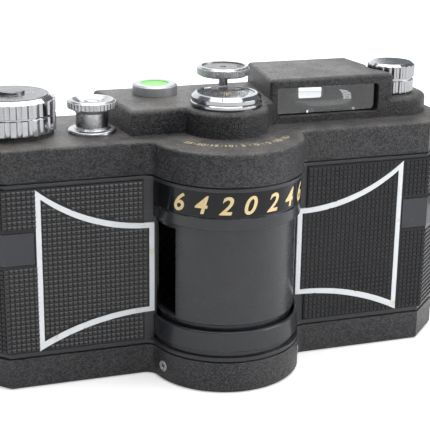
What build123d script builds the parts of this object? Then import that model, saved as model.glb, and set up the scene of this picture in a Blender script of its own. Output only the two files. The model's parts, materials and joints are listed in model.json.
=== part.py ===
"""Swing-lens panoramic film camera, built as an assembly of separate parts.

X runs right as seen from the front, the front faces -Y, Z is up.  The origin is
the mouth of the tripod socket, which lies on the turning axis of the lens drum.
"""
from build123d import *
import os

os.makedirs("parts", exist_ok=True)

# ---------------------------------------------------------------- driving sizes (mm)
half_width = 72.5
front_y = -2.0
back_y = 34.6
door_y = 30.8
front_chamfer = 10.0
rear_round = 4.0
bulge_r = 22.0
bulge_blend = 3.0

bottom_top_z = 8.8
body_top_z = 59.5
deck_z = 68.5
platform_z = 75.7
finder_z = 81.6
rewind_boss_z = 74.1
wall = 2.0

drum_r = 20.1
chamber_r = 20.6
ring_r = 21.4
ring_seat_r = 21.45
sweep_r = 25.4
film_r = 26.0
film_low_z = 15.5
film_high_z = 52.5
film_mid_z = 34.0
gate_half_h = 12.0

park_angle = 84.0
window_half_angle = 23.5
swing_angle = 168.0

take_up_x, take_up_y = -56.5, 17.2
cassette_x, cassette_y = 58.5, 17.3
chamber_radius = 12.6
sprocket_x, sprocket_y = -37.6, 21.5
roller_x, roller_y, roller_r = 30.6, 9.2, 3.2
pin_r = 0.8
release_x, release_y = -34.9, 13.3
level_x, level_y = -13.3, 25.6
dial_x, dial_y = 1.7, 5.2
speed_x, speed_y = 6.6, 22.3
hinge_x, hinge_y = -70.2, 32.4
governor_x, governor_y = -10.2, 10.2
bulge_screw_x, bulge_screw_y, bulge_screw_z = 20.51, -7.96, 4.4


def save(part, label):
    part.label = label
    export_step(part, f"parts/{label}.step")


def body_plan(grow, bulge):
    """Outline of the body seen from above, with or without the round front bulge."""
    w = half_width + grow
    f = front_y - grow
    c = front_chamfer
    pts = [(-w, f + c), (-w + c, f), (w - c, f), (w, f + c), (w, back_y + grow), (-w, back_y + grow)]
    with BuildSketch() as plan:
        with BuildLine():
            Polyline(*pts, close=True)
        make_face()
        fillet(plan.vertices().group_by(Axis.Y)[-1], rear_round)
        if bulge:
            Circle(bulge_r + grow)
            corners = plan.vertices().filter_by_position(Axis.X, -24, 24)
            corners = corners.filter_by_position(Axis.Y, f - 0.1, f + 0.1)
            fillet(corners, bulge_blend)
    return plan.sketch


def ring_part(outer, inner, low, high, at=(0, 0)):
    with BuildPart() as ring:
        with BuildSketch(Plane.XY.offset(low)):
            with Locations(at):
                Circle(outer)
                Circle(inner, mode=Mode.SUBTRACT)
        extrude(amount=high - low)
    return ring


def fluted_outline(radius, depth, count, flute_r):
    """Round outline with evenly spaced scooped flutes."""
    with BuildSketch() as outline:
        Circle(radius)
        with PolarLocations(radius + flute_r - depth, count):
            Circle(flute_r, mode=Mode.SUBTRACT)
    return outline.sketch


def toothed_disc(at, root, tip, count, low, high, bore):
    """Flat gear with straight tapered teeth."""
    with BuildPart() as gear:
        with BuildSketch(Plane.XY.offset(low)):
            with Locations(at):
                Circle(root)
                with PolarLocations(root - 0.3, count):
                    tooth = tip - root + 0.3
                    Polygon((0, -0.5), (tooth, -0.28), (tooth, 0.28), (0, 0.5), align=None)
                Circle(bore, mode=Mode.SUBTRACT)
        extrude(amount=high - low)
    return gear


# ---------------------------------------------------------------- bottom cover
tripod_r = 3.175
tripod_len = 6.0
bush_r = 6.0
with BuildPart() as bottom_cover:
    add(body_plan(0, True))
    extrude(amount=bottom_top_z)
    chamfer(bottom_cover.faces().sort_by(Axis.Z)[0].edges(), 0.6)
    with BuildSketch(Plane.XY.offset(wall)):
        add(body_plan(-wall, True))
    extrude(amount=bottom_top_z - wall, mode=Mode.SUBTRACT)
    with BuildSketch(Plane.XY.offset(wall)):
        Circle(bush_r + 2.5)
    extrude(amount=bottom_top_z - wall)
    with BuildSketch():
        Circle(bush_r)
    extrude(amount=bottom_top_z, mode=Mode.SUBTRACT)
    with BuildSketch():
        with Locations((sprocket_x, sprocket_y)):
            Circle(2.6)
    extrude(amount=bottom_top_z, mode=Mode.SUBTRACT)
    for side in (-1, 1):
        out = (side * bulge_screw_x, bulge_screw_y, 0)
        with Locations(Plane((side * bulge_screw_x, bulge_screw_y, bulge_screw_z), z_dir=out)):
            CounterSinkHole(radius=0.7, counter_sink_radius=1.4, depth=4)
    with Locations(Plane((-50, 2, 0), z_dir=(0, 0, -1)), Plane((50, 2, 0), z_dir=(0, 0, -1)),
                   Plane((-50, 28, 0), z_dir=(0, 0, -1)), Plane((50, 28, 0), z_dir=(0, 0, -1))):
        CounterSinkHole(radius=1.0, counter_sink_radius=2.0, depth=6)
save(bottom_cover.part, "bottom_cover")

with BuildPart() as tripod_bush:
    with BuildSketch():
        Circle(bush_r)
        Circle(tripod_r, mode=Mode.SUBTRACT)
    extrude(amount=tripod_len)
    with BuildSketch(Plane.XY.offset(tripod_len)):
        Circle(bush_r)
    extrude(amount=1.2)
save(tripod_bush.part, "tripod_bush")

with BuildPart() as bottom_cover_screws:
    for x, y in ((-50, 2), (50, 2), (-50, 28), (50, 28)):
        with BuildSketch(Plane.XY.offset(0.05)):
            with Locations((x, y)):
                Circle(1.85)
        extrude(amount=1.0, taper=42)
        with BuildSketch(Plane.XY.offset(0.6)):
            with Locations((x, y)):
                Circle(0.9)
        extrude(amount=4.4)
save(bottom_cover_screws.part, "bottom_cover_screws")

with BuildPart() as bulge_screws:
    for side in (-1, 1):
        out = (side * bulge_screw_x, bulge_screw_y, 0)
        head_plane = Plane((side * bulge_screw_x, bulge_screw_y, bulge_screw_z), z_dir=out).offset(-0.05)
        with BuildSketch(head_plane):
            Circle(1.3)
        extrude(amount=-0.65, taper=42)
        with BuildSketch(head_plane.offset(-0.4)):
            Circle(0.6)
        extrude(amount=-2.4)
save(bulge_screws.part, "bulge_screws")

# rewind release button in the base, under the sprocket
with BuildPart() as rewind_release_button:
    with BuildSketch(Plane.XY.offset(0.3)):
        with Locations((sprocket_x, sprocket_y)):
            Circle(2.55)
    extrude(amount=2.2)
    with BuildSketch(Plane.XY.offset(2.5)):
        with Locations((sprocket_x, sprocket_y)):
            Circle(3.6)
    extrude(amount=0.8)
    fillet(rewind_release_button.faces().sort_by(Axis.Z)[0].edges(), 0.4)
save(rewind_release_button.part, "rewind_release_button")

# ---------------------------------------------------------------- body casting
lip_low_z = 10.35
lip_high_z = 58.0
ring_low_z = 12.05
ring_low_top_z = 17.85
band_low_z = 51.0
band_high_z = lip_high_z
upper_ring_z = 47.1
seam_high = 0.55
seam_deep = 0.75
with BuildPart() as body_casting:
    # shadow groove over the bottom cover, then the rim of the casting
    with BuildSketch(Plane.XY.offset(bottom_top_z)):
        add(body_plan(-seam_deep, True))
    extrude(amount=seam_high)
    with BuildSketch(Plane.XY.offset(bottom_top_z + seam_high)):
        add(body_plan(-0.15, True))
    extrude(amount=lip_low_z - bottom_top_z - seam_high)
    with BuildSketch(Plane.XY.offset(lip_low_z)):
        add(body_plan(-0.15, False))
    extrude(amount=lip_high_z - lip_low_z)
    with BuildSketch(Plane.XY.offset(lip_high_z)):
        add(body_plan(-0.15, True))
    extrude(amount=body_top_z - lip_high_z - seam_high)
    # shadow groove under the top cover
    with BuildSketch(Plane.XY.offset(body_top_z - seam_high)):
        add(body_plan(-seam_deep, True))
    extrude(amount=seam_high)
    # back opening for the door
    with BuildSketch(Plane.XY.offset(bottom_top_z)):
        with Locations((0, door_y - 0.3)):
            Rectangle(160, 20, align=(Align.CENTER, Align.MIN))
    extrude(amount=body_top_z - bottom_top_z, mode=Mode.SUBTRACT)
    # seats of the fixed rings and the drum chamber
    with BuildSketch(Plane.XY.offset(lip_low_z)):
        Circle(ring_seat_r)
    extrude(amount=ring_low_top_z - lip_low_z, mode=Mode.SUBTRACT)
    with BuildSketch(Plane.XY.offset(ring_low_top_z)):
        Circle(chamber_r)
    extrude(amount=upper_ring_z - ring_low_top_z, mode=Mode.SUBTRACT)
    with BuildSketch(Plane.XY.offset(upper_ring_z)):
        Circle(ring_seat_r)
    extrude(amount=lip_high_z - upper_ring_z, mode=Mode.SUBTRACT)
    # room behind the drum for the sweeping slit tube
    with BuildSketch(Plane.XY.offset(film_mid_z - 13.4)):
        Circle(sweep_r)
        with Locations((0, 0.2)):
            Rectangle(80, 60, align=(Align.CENTER, Align.MAX), mode=Mode.SUBTRACT)
    extrude(amount=26.8, mode=Mode.SUBTRACT)
    # film track between the chambers and around the gate
    with BuildSketch(Plane.XY.offset(film_low_z)):
        with Locations((0, 5.2)):
            Rectangle(92, 40, align=(Align.CENTER, Align.MIN))
        Circle(sweep_r, mode=Mode.SUBTRACT)
        with Locations((0, 5.2)):
            Rectangle(46, 8, align=(Align.CENTER, Align.CENTER), mode=Mode.SUBTRACT)
    extrude(amount=film_high_z - film_low_z, mode=Mode.SUBTRACT)
    # take-up and cassette chambers, open to the back
    with BuildSketch(Plane.XY.offset(10.3)):
        for cx, cy in ((take_up_x, take_up_y), (cassette_x, cassette_y)):
            with Locations((cx, cy)):
                Circle(chamber_radius)
                Rectangle(2 * chamber_radius, 30, align=(Align.CENTER, Align.MIN))
    extrude(amount=47.4, mode=Mode.SUBTRACT)
    # bores for the shafts
    with BuildSketch(Plane.XY.offset(bottom_top_z)):
        with Locations((take_up_x, take_up_y), (sprocket_x, sprocket_y)):
            Circle(2.05)
        Circle(4.0)
    extrude(amount=body_top_z - bottom_top_z, mode=Mode.SUBTRACT)
    # pins that the guide rollers turn on
    with BuildSketch(Plane.XY.offset(film_low_z - 0.1)):
        with Locations((roller_x, roller_y), (-roller_x, roller_y)):
            Circle(pin_r)
    extrude(amount=film_high_z - film_low_z + 0.2)
    with BuildSketch(Plane.XY.offset(body_top_z)):
        with Locations((cassette_x, cassette_y)):
            Circle(3.05)
    extrude(amount=-6.0, mode=Mode.SUBTRACT)
    with BuildSketch(Plane.XY.offset(body_top_z)):
        with Locations((release_x, release_y)):
            Circle(1.3)
        with Locations((governor_x, governor_y)):
            Circle(0.85)
    extrude(amount=-7.0, mode=Mode.SUBTRACT)
    # groove that the hinge barrel of the door turns in
    with BuildSketch(Plane.XY.offset(bottom_top_z)):
        with Locations((hinge_x, hinge_y)):
            Circle(2.5)
    extrude(amount=body_top_z - bottom_top_z, mode=Mode.SUBTRACT)
save(body_casting.part, "body_casting")

# ---------------------------------------------------------------- leatherette skins and white frames
skin = 0.6
skin_low_z = 10.75
skin_high_z = 57.8
leather_in_x = 24.3
frame_in_x = 21.4
frame_out_x = 54.0
frame_w = 1.45
frame_in_low_z = 19.2
frame_in_high_z = 45.5
frame_end_low_z = 10.9
frame_end_high_z = 57.5
skin_y = front_y + 0.15
lug_low_z = 36.6
lug_high_z = 45.6
lug_in_x = 54.9
eye_h = 2.6


def frame_shape(side, inset):
    """Trumpet-shaped outline of the white frame, shrunk by inset."""
    xi = side * (frame_in_x + inset)
    xo = side * (frame_out_x + 0.35 - inset)
    top_in = frame_in_high_z - inset
    top_out = frame_end_high_z - inset * 1.9
    low_in = frame_in_low_z + inset
    low_out = frame_end_low_z + inset * 1.9
    with BuildSketch() as shape:
        with BuildLine():
            TangentArc((xi, top_in), (xo, top_out), tangent=(side, 0))
            Line((xo, top_out), (xo, low_out))
            TangentArc((xi, low_in), (xo, low_out), tangent=(side, 0))
            Line((xi, low_in), (xi, top_in))
        make_face()
    return shape.sketch


def make_frame(side):
    with BuildPart() as frame:
        with BuildSketch(Plane.XZ.offset(-skin_y)):
            add(frame_shape(side, 0))
            add(frame_shape(side, frame_w), mode=Mode.SUBTRACT)
        extrude(amount=skin + 0.1)
    return frame


def make_front_skin(side):
    with BuildPart() as cover:
        with BuildSketch(Plane.XY.offset(skin_low_z)):
            add(body_plan(skin - 0.15, False))
            add(body_plan(-0.15, False), mode=Mode.SUBTRACT)
            with Locations((0, 10)):
                Rectangle(2 * leather_in_x, 60, mode=Mode.SUBTRACT)
            with Locations((0, door_y - 0.6)):
                Rectangle(200, 30, align=(Align.CENTER, Align.MIN), mode=Mode.SUBTRACT)
            with Locations((-side * 100, 0)):
                Rectangle(200, 200, mode=Mode.SUBTRACT)
        extrude(amount=skin_high_z - skin_low_z)
        # the skin inside the frame reaches closer to the drum
        with BuildSketch(Plane.XZ.offset(-skin_y)):
            add(frame_shape(side, 0))
        extrude(amount=skin + 0.2, mode=Mode.SUBTRACT)
        with BuildSketch(Plane.XZ.offset(-skin_y)):
            add(frame_shape(side, frame_w))
        extrude(amount=skin)
        with BuildSketch(Plane.XY.offset(lug_low_z - 0.15)):
            with Locations((side * (lug_in_x - 0.15), front_y - 5)):
                Rectangle(60, 19, align=(Align.MIN if side > 0 else Align.MAX, Align.MIN))
        extrude(amount=lug_high_z - lug_low_z + 0.3, mode=Mode.SUBTRACT)
    return cover


frame_trim_left = make_frame(-1)
frame_trim_right = make_frame(1)
leatherette_left = make_front_skin(-1)
leatherette_right = make_front_skin(1)
save(frame_trim_left.part, "frame_trim_left")
save(frame_trim_right.part, "frame_trim_right")
save(leatherette_left.part, "leatherette_left")
save(leatherette_right.part, "leatherette_right")


def make_lug(side):
    """Smooth band round the end of the body, carrying the slotted strap eye."""
    with BuildPart() as lug:
        with BuildSketch(Plane.XY.offset(lug_low_z)):
            add(body_plan(0.55, False))
            add(body_plan(-0.15, False), mode=Mode.SUBTRACT)
            with Locations((side * lug_in_x, front_y - 5)):
                outward = Align.MIN if side > 0 else Align.MAX
                Rectangle(60, 18.6, align=(outward, Align.MIN), mode=Mode.INTERSECT)
        extrude(amount=lug_high_z - lug_low_z)
        with BuildSketch(Plane.XY.offset((lug_low_z + lug_high_z - eye_h) / 2)):
            with Locations((side * (half_width + 0.2), 6.9)):
                Rectangle(4.6, 8.4, align=(Align.MIN if side > 0 else Align.MAX, Align.CENTER))
            with Locations((side * (half_width + 2.5), 6.9)):
                Rectangle(2.6, 6.0, mode=Mode.SUBTRACT)
        extrude(amount=eye_h)
    return lug


strap_lug_left = make_lug(-1)
strap_lug_right = make_lug(1)
save(strap_lug_left.part, "strap_lug_left")
save(strap_lug_right.part, "strap_lug_right")


# ---------------------------------------------------------------- fixed rings round the drum
ring_in_r = 20.5
with BuildPart() as lower_ring:
    with BuildSketch(Plane.XY.offset(lip_low_z)):
        Circle(20.9)
        Circle(4.0, mode=Mode.SUBTRACT)
    extrude(amount=ring_low_z - lip_low_z)
    with BuildSketch(Plane.XY.offset(ring_low_z)):
        Circle(ring_r)
    extrude(amount=ring_low_top_z - ring_low_z)
    fillet(lower_ring.faces().sort_by(Axis.Z)[-1].edges(), 0.45)
    with BuildSketch(Plane.XY.offset(ring_low_z)):
        Circle(ring_in_r)
    extrude(amount=ring_low_top_z - ring_low_z, mode=Mode.SUBTRACT)
save(lower_ring.part, "lower_ring")

with BuildPart() as upper_ring:
    with BuildSketch(Plane.XY.offset(upper_ring_z)):
        Circle(ring_r)
    extrude(amount=band_low_z - 0.5 - upper_ring_z)
    fillet(upper_ring.faces().sort_by(Axis.Z)[0].edges(), 0.3)
    with BuildSketch(Plane.XY.offset(band_low_z - 0.5)):
        Circle(ring_r - 0.35)
    extrude(amount=0.5)
    with BuildSketch(Plane.XY.offset(upper_ring_z)):
        Circle(ring_in_r)
    extrude(amount=band_low_z - upper_ring_z, mode=Mode.SUBTRACT)
save(upper_ring.part, "upper_ring")

degree_band = ring_part(ring_r, 19.4, band_low_z, band_high_z)
save(degree_band.part, "degree_band")

with BuildPart() as drum_bearings:
    add(ring_part(4.0, 2.04, bottom_top_z, ring_low_z).part)
    add(ring_part(4.0, 2.04, lip_high_z - 1.4, body_top_z).part)
save(drum_bearings.part, "drum_bearings")


# ---------------------------------------------------------------- turning lens drum
lens_dir = 270 - park_angle
drum_low_z = 19.2
drum_high_z = 49.2
drum_in_r = 18.7
neck_r = 19.5
plate_at = 6.4
barrel_r = 7.4
lens_z = film_mid_z
turned = Location((0, 0, 0), (0, 0, lens_dir))
lens_out = turned.x_axis.direction
lens_plane = Plane(origin=(0, 0, lens_z), x_dir=lens_out.cross(Vector(0, 0, 1)), z_dir=lens_out)
with BuildPart() as lens_drum:
    with BuildSketch(Plane.XY.offset(14.0)):
        Circle(neck_r)
    extrude(amount=drum_low_z - 14.0)
    with BuildSketch(Plane.XY.offset(drum_low_z)):
        Circle(drum_r)
    extrude(amount=drum_high_z - drum_low_z)
    foot_edges = lens_drum.edges().filter_by_position(Axis.Z, drum_low_z - 0.01, drum_low_z + 0.01)
    chamfer(foot_edges.sort_by(SortBy.RADIUS)[-1], 0.3)
    with BuildSketch(Plane.XY.offset(15.5)):
        Circle(neck_r - 1.2)
    extrude(amount=drum_low_z - 15.5, mode=Mode.SUBTRACT)
    with BuildSketch(Plane.XY.offset(drum_low_z)):
        Circle(drum_in_r)
    extrude(amount=drum_high_z - 1.6 - drum_low_z, mode=Mode.SUBTRACT)
    # plate across the drum that carries the lens
    with BuildSketch(Plane.XY.offset(14.8)):
        with Locations(turned):
            with Locations((plate_at, 0)):
                Rectangle(1.4, 34.6)
        Circle(drum_in_r + 0.2, mode=Mode.INTERSECT)
    extrude(amount=drum_high_z - 15.2)
    with BuildSketch(lens_plane):
        Circle(barrel_r)
    extrude(amount=9.0, mode=Mode.SUBTRACT)
    # tall window in front of the lens
    with BuildSketch(Plane.XY.offset(20.1)):
        with Locations(turned):
            Polygon((10, -10 * 0.4348), (30, -30 * 0.4348), (30, 30 * 0.4348), (10, 10 * 0.4348), align=None)
    extrude(amount=25.5, mode=Mode.SUBTRACT)
    # slot for the slit tube
    with BuildSketch(Plane.XY.offset(film_mid_z - 13.0)):
        with Locations(turned):
            with Locations((-20, 0)):
                Rectangle(10, 3.4)
    extrude(amount=26.0, mode=Mode.SUBTRACT)
save(lens_drum.part, "lens_drum")

with BuildPart() as slit_tube:
    with BuildSketch(Plane.XY.offset(film_mid_z - 13.0)):
        with Locations(turned):
            with Locations((-9.0, 0)):
                Rectangle(15.9, 3.4, align=(Align.MAX, Align.CENTER))
    extrude(amount=26.0)
    with BuildSketch(Plane.XY.offset(film_mid_z - 13.0)):
        with Locations(turned):
            with Locations((-8.0, 0)):
                Rectangle(1.0, 15.0, align=(Align.MAX, Align.CENTER))
    extrude(amount=26.0)
    with BuildSketch(Plane.XY.offset(film_mid_z - gate_half_h)):
        with Locations(turned):
            with Locations((-7.0, 0)):
                Rectangle(20.0, 2.0, align=(Align.MAX, Align.CENTER))
    extrude(amount=2 * gate_half_h, mode=Mode.SUBTRACT)
save(slit_tube.part, "slit_tube")

with BuildPart() as lens_barrel:
    with BuildSketch(lens_plane.offset(-8.0)):
        Circle(6.2)
    extrude(amount=13.7)
    with BuildSketch(lens_plane.offset(5.7)):
        Circle(barrel_r)
    extrude(amount=1.4)
    with BuildSketch(lens_plane.offset(7.1)):
        Circle(8.4)
    extrude(amount=3.4)
    chamfer(lens_barrel.faces().sort_by(Axis(origin=(0, 0, 0), direction=lens_plane.z_dir))[-1].edges(), 0.8)
    with BuildSketch(lens_plane.offset(-8.0)):
        Circle(5.0)
    extrude(amount=16.0, mode=Mode.SUBTRACT)
    with BuildSketch(lens_plane.offset(8.0)):
        Circle(5.8)
    extrude(amount=4.0, mode=Mode.SUBTRACT)
save(lens_barrel.part, "lens_barrel")

with BuildPart() as lens_front_element:
    with BuildSketch(lens_plane.offset(8.0)):
        Circle(5.8)
    extrude(amount=1.3)
    outermost = lens_front_element.faces().sort_by(Axis(origin=(0, 0, 0), direction=lens_plane.z_dir))[-1]
    fillet(outermost.edges(), 0.9)
save(lens_front_element.part, "lens_front_element")

with BuildPart() as lens_rear_element:
    with BuildSketch(lens_plane.offset(-7.6)):
        Circle(5.0)
    extrude(amount=2.4)
save(lens_rear_element.part, "lens_rear_element")

with BuildPart() as iris_ring:
    with BuildSketch(lens_plane.offset(-1.2)):
        Circle(4.95)
        RegularPolygon(3.0, 6, mode=Mode.SUBTRACT)
    extrude(amount=0.8)
save(iris_ring.part, "iris_ring")

with BuildPart() as drum_spindle:
    with BuildSketch(Plane.XY.offset(bottom_top_z + 0.3)):
        Circle(2.0)
    extrude(amount=14.0 - bottom_top_z - 0.3)
    with BuildSketch(Plane.XY.offset(drum_high_z)):
        Circle(2.0)
    extrude(amount=64.6 - drum_high_z)
    add(toothed_disc((0, 0), 9.4, 10.3, 40, 61.0, 62.6, 1.0).part)
save(drum_spindle.part, "drum_spindle")


# flat coiled spring that drives the drum, hooked to the band
spring_turns = 12
with BuildPart() as drive_spring:
    with BuildSketch(Plane.XY.offset(51.6)) as coil_face:
        with BuildLine():
            for n in range(spring_turns):
                reach = 3.4 + 1.32 * n
                middle = 0.66 if n % 2 else 0.0
                CenterArc((middle, 0), reach, 180 * (n % 2), 180)
        trace(line_width=0.35)
    extrude(amount=3.6)
save(drive_spring.part, "drive_spring")

with BuildPart() as governor:
    with BuildSketch(Plane.XY.offset(58.2)):
        with Locations((governor_x, governor_y)):
            Circle(0.8)
    extrude(amount=8.0)
    with BuildSketch(Plane.XY.offset(63.4)):
        with Locations((governor_x, governor_y)):
            Circle(5.0)
    extrude(amount=2.0)
    add(toothed_disc((governor_x, governor_y), 2.9, 3.6, 12, 61.0, 62.6, 0.4).part)
save(governor.part, "governor")

# ---------------------------------------------------------------- film gate and film path
with BuildPart() as film_gate:
    with BuildSketch(Plane.XY.offset(film_low_z + 0.1)):
        Circle(film_r)
        Circle(sweep_r, mode=Mode.SUBTRACT)
        with Locations((0, 5.9)):
            Rectangle(80, 60, align=(Align.CENTER, Align.MAX), mode=Mode.SUBTRACT)
    extrude(amount=film_high_z - film_low_z - 0.2)
    with BuildSketch(Plane.XY.offset(film_mid_z - gate_half_h)):
        Polygon((0, 0), (70, 26.9), (70, 80), (-70, 80), (-70, 26.9), align=None)
    extrude(amount=2 * gate_half_h, mode=Mode.SUBTRACT)
save(film_gate.part, "film_gate")


with BuildPart() as film_rails:
    for low in (17.2, 48.2):
        with BuildSketch(Plane.XY.offset(low)):
            Circle(film_r + 0.25)
            Circle(film_r, mode=Mode.SUBTRACT)
            with Locations((0, 6.5)):
                Rectangle(80, 60, align=(Align.CENTER, Align.MAX), mode=Mode.SUBTRACT)
        extrude(amount=2.6)
save(film_rails.part, "film_rails")

roller_span = (film_low_z + 0.3, film_high_z - 0.3)
guide_roller_left = ring_part(roller_r, pin_r + 0.06, *roller_span, (-roller_x, roller_y))
guide_roller_right = ring_part(roller_r, pin_r + 0.06, *roller_span, (roller_x, roller_y))
save(guide_roller_left.part, "guide_roller_left")
save(guide_roller_right.part, "guide_roller_right")

sprocket_teeth = 8
with BuildPart() as film_sprocket:
    with BuildSketch(Plane.XY.offset(film_low_z + 0.3)):
        with Locations((sprocket_x, sprocket_y)):
            Circle(5.4)
    extrude(amount=film_high_z - film_low_z - 0.6)
    with BuildSketch(Plane.XY.offset(film_low_z + 5.0)):
        with Locations((sprocket_x, sprocket_y)):
            Circle(7.0)
            Circle(4.2, mode=Mode.SUBTRACT)
    extrude(amount=27.0, mode=Mode.SUBTRACT)
    for low in (18.2, 47.8):
        with BuildSketch(Plane.XY.offset(low)):
            with Locations((sprocket_x, sprocket_y)):
                with PolarLocations(5.2, sprocket_teeth):
                    Polygon((0, -0.7), (1.4, -0.35), (1.4, 0.35), (0, 0.7), align=None)
        extrude(amount=1.9)
save(film_sprocket.part, "film_sprocket")

with BuildPart() as sprocket_shaft:
    with BuildSketch(Plane.XY.offset(6.1)):
        with Locations((sprocket_x, sprocket_y)):
            Circle(2.0)
    extrude(amount=film_low_z + 0.3 - 6.1)
    with BuildSketch(Plane.XY.offset(film_high_z - 0.3)):
        with Locations((sprocket_x, sprocket_y)):
            Circle(2.0)
    extrude(amount=body_top_z - film_high_z + 0.3)
    add(toothed_disc((sprocket_x, sprocket_y), 8.9, 9.6, 36, 6.3, 7.9, 1.0).part)
save(sprocket_shaft.part, "sprocket_shaft")

with BuildPart() as take_up_spool:
    with BuildSketch(Plane.XY.offset(13.0)):
        with Locations((take_up_x, take_up_y)):
            Circle(10.4)
    extrude(amount=1.2)
    with BuildSketch(Plane.XY.offset(14.2)):
        with Locations((take_up_x, take_up_y)):
            Circle(6.6)
    extrude(amount=40.8)
    with BuildSketch(Plane.XY.offset(54.2)):
        with Locations((take_up_x, take_up_y)):
            Circle(10.4)
    extrude(amount=1.2)
    # slot that takes the film's leader
    with BuildSketch(Plane.XY.offset(16.0)):
        with Locations((take_up_x, take_up_y)):
            with Locations(Location((0, 0, 0), (0, 0, 40))):
                Rectangle(1.6, 16)
    extrude(amount=36.0, mode=Mode.SUBTRACT)
    with BuildSketch(Plane.XY.offset(16.0)):
        with Locations((take_up_x, take_up_y)):
            Circle(2.6)
    extrude(amount=36.0)
save(take_up_spool.part, "take_up_spool")

knob_low_z = 69.9
knob_top_z = 79.5
with BuildPart() as advance_shaft:
    with BuildSketch(Plane.XY.offset(6.1)):
        with Locations((take_up_x, take_up_y)):
            Circle(2.0)
    extrude(amount=13.0 - 6.1)
    with BuildSketch(Plane.XY.offset(55.4)):
        with Locations((take_up_x, take_up_y)):
            Circle(2.0)
    extrude(amount=knob_low_z - 55.4)
    add(toothed_disc((take_up_x, take_up_y), 8.9, 9.6, 36, 6.3, 7.9, 1.0).part)
save(advance_shaft.part, "advance_shaft")

# ---------------------------------------------------------------- advance knob
knob_r = 12.1
knob_flutes = 24
knob_flute_depth = 0.5
with BuildPart() as advance_knob:
    with BuildSketch(Plane.XY.offset(knob_low_z)):
        with Locations((take_up_x, take_up_y)):
            add(fluted_outline(knob_r, knob_flute_depth, knob_flutes, 1.0))
    extrude(amount=4.3)
    with BuildSketch(Plane.XY.offset(knob_low_z + 4.3)):
        with Locations((take_up_x, take_up_y)):
            Circle(knob_r - 0.7)
    extrude(amount=0.6)
    with BuildSketch(Plane.XY.offset(knob_low_z + 4.9)):
        with Locations((take_up_x, take_up_y)):
            add(fluted_outline(knob_r, knob_flute_depth, knob_flutes, 1.0))
    extrude(amount=3.7)
    with BuildSketch(Plane.XY.offset(knob_low_z + 8.6)):
        with Locations((take_up_x, take_up_y)):
            Circle(knob_r - 0.45)
    extrude(amount=knob_top_z - knob_low_z - 8.6, taper=50)
save(advance_knob.part, "advance_knob")

with BuildPart() as counter_disc:
    with BuildSketch(Plane.XY.offset(knob_top_z)):
        with Locations((take_up_x, take_up_y)):
            Circle(10.2)
    extrude(amount=0.25)
    with BuildSketch(Plane.XY.offset(knob_top_z + 0.25)):
        with Locations((take_up_x, take_up_y)):
            Circle(3.75)
    extrude(amount=0.7)
    fillet(counter_disc.faces().sort_by(Axis.Z)[-1].edges(), 0.25)
save(counter_disc.part, "counter_disc")

# ---------------------------------------------------------------- shutter release
post_flange_r, post_waist_r, post_head_r = 6.8, 4.55, 6.8
with BuildPart() as release_post:
    with BuildSketch(Plane.XY.offset(deck_z)):
        with Locations((release_x, release_y)):
            Circle(post_flange_r)
    extrude(amount=1.0)
    fillet(release_post.faces().sort_by(Axis.Z)[-1].edges(), 0.7)
    with BuildSketch(Plane.XY.offset(deck_z + 1.0)):
        with Locations((release_x, release_y)):
            Circle(post_waist_r + 0.7)
    extrude(amount=0.7, taper=45)
    with BuildSketch(Plane.XY.offset(deck_z + 1.0)):
        with Locations((release_x, release_y)):
            Circle(post_waist_r)
    extrude(amount=4.7)
    with BuildSketch(Plane.XY.offset(deck_z + 5.7)):
        with Locations((release_x, release_y)):
            Circle(post_waist_r)
    extrude(amount=1.3, taper=-54)
    with BuildSketch(Plane.XY.offset(deck_z + 7.0)):
        with Locations((release_x, release_y)):
            add(fluted_outline(post_head_r, 0.22, 36, 0.45))
    extrude(amount=1.75)
    with BuildSketch(Plane.XY.offset(deck_z + 8.75)):
        with Locations((release_x, release_y)):
            Circle(post_head_r - 0.25)
    extrude(amount=0.45, taper=45)
    # dished top that the finger rests in
    with BuildSketch(Plane.XY.offset(deck_z + 7.9)):
        with Locations((release_x, release_y)):
            Circle(3.6)
    extrude(amount=1.31, taper=-55, mode=Mode.SUBTRACT)
    with BuildSketch(Plane.XY.offset(deck_z)):
        with Locations((release_x, release_y)):
            Circle(2.3)
    extrude(amount=10, mode=Mode.SUBTRACT)
save(release_post.part, "release_post")

button_low_z = deck_z + 1.8
with BuildPart() as release_button:
    with BuildSketch(Plane.XY.offset(54.8)):
        with Locations((release_x, release_y)):
            Circle(1.25)
    extrude(amount=button_low_z - 54.8)
    with BuildSketch(Plane.XY.offset(button_low_z)):
        with Locations((release_x, release_y)):
            Circle(2.25)
    extrude(amount=deck_z + 9.0 - button_low_z)
    fillet(release_button.faces().sort_by(Axis.Z)[-1].edges(), 0.3)
save(release_button.part, "release_button")

spring_low_z = body_top_z
with BuildPart() as release_spring:
    with BuildLine(Plane((release_x, release_y, spring_low_z + 0.2))) as coil:
        Helix(pitch=1.15, height=button_low_z - spring_low_z - 0.4, radius=1.72)
    with BuildSketch(Plane(origin=coil.line @ 0, z_dir=coil.line % 0)):
        Circle(0.2)
    sweep()
save(release_spring.part, "release_spring")


# ---------------------------------------------------------------- top cover
finder_front_y = 6.7
finder_pts = [(15.6, finder_front_y), (54.4, finder_front_y), (51.0, back_y), (18.6, back_y)]
platform_pts = [(-26.0, 4.0), (12.0, 4.0), (18.0, 7.5), (21.0, back_y), (-29.5, back_y)]
platform_in = [(-24.4, 5.8), (-8.0, 5.8), (14.0, 9.0), (16.2, back_y - 1.8), (-27.4, back_y - 1.8)]
finder_in = [
    (17.4, finder_front_y + 1.6),
    (51.6, finder_front_y + 1.6),
    (49.3, 14.0),
    (49.2, back_y - 1.6),
    (20.2, back_y - 1.6),
]
dial_boss_r = 12.05
rewind_boss_r = 10.6
window_x0, window_x1, window_z0, window_z1 = 17.9, 49.6, 70.7, 79.0
eye_x, eye_z = 34.6, 75.0


def top_edge(builder, z, size):
    """Round the upper rim at height z."""
    rim = builder.faces().filter_by(Plane.XY).group_by(Axis.Z)[-1]
    fillet(rim.edges(), size)


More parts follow.
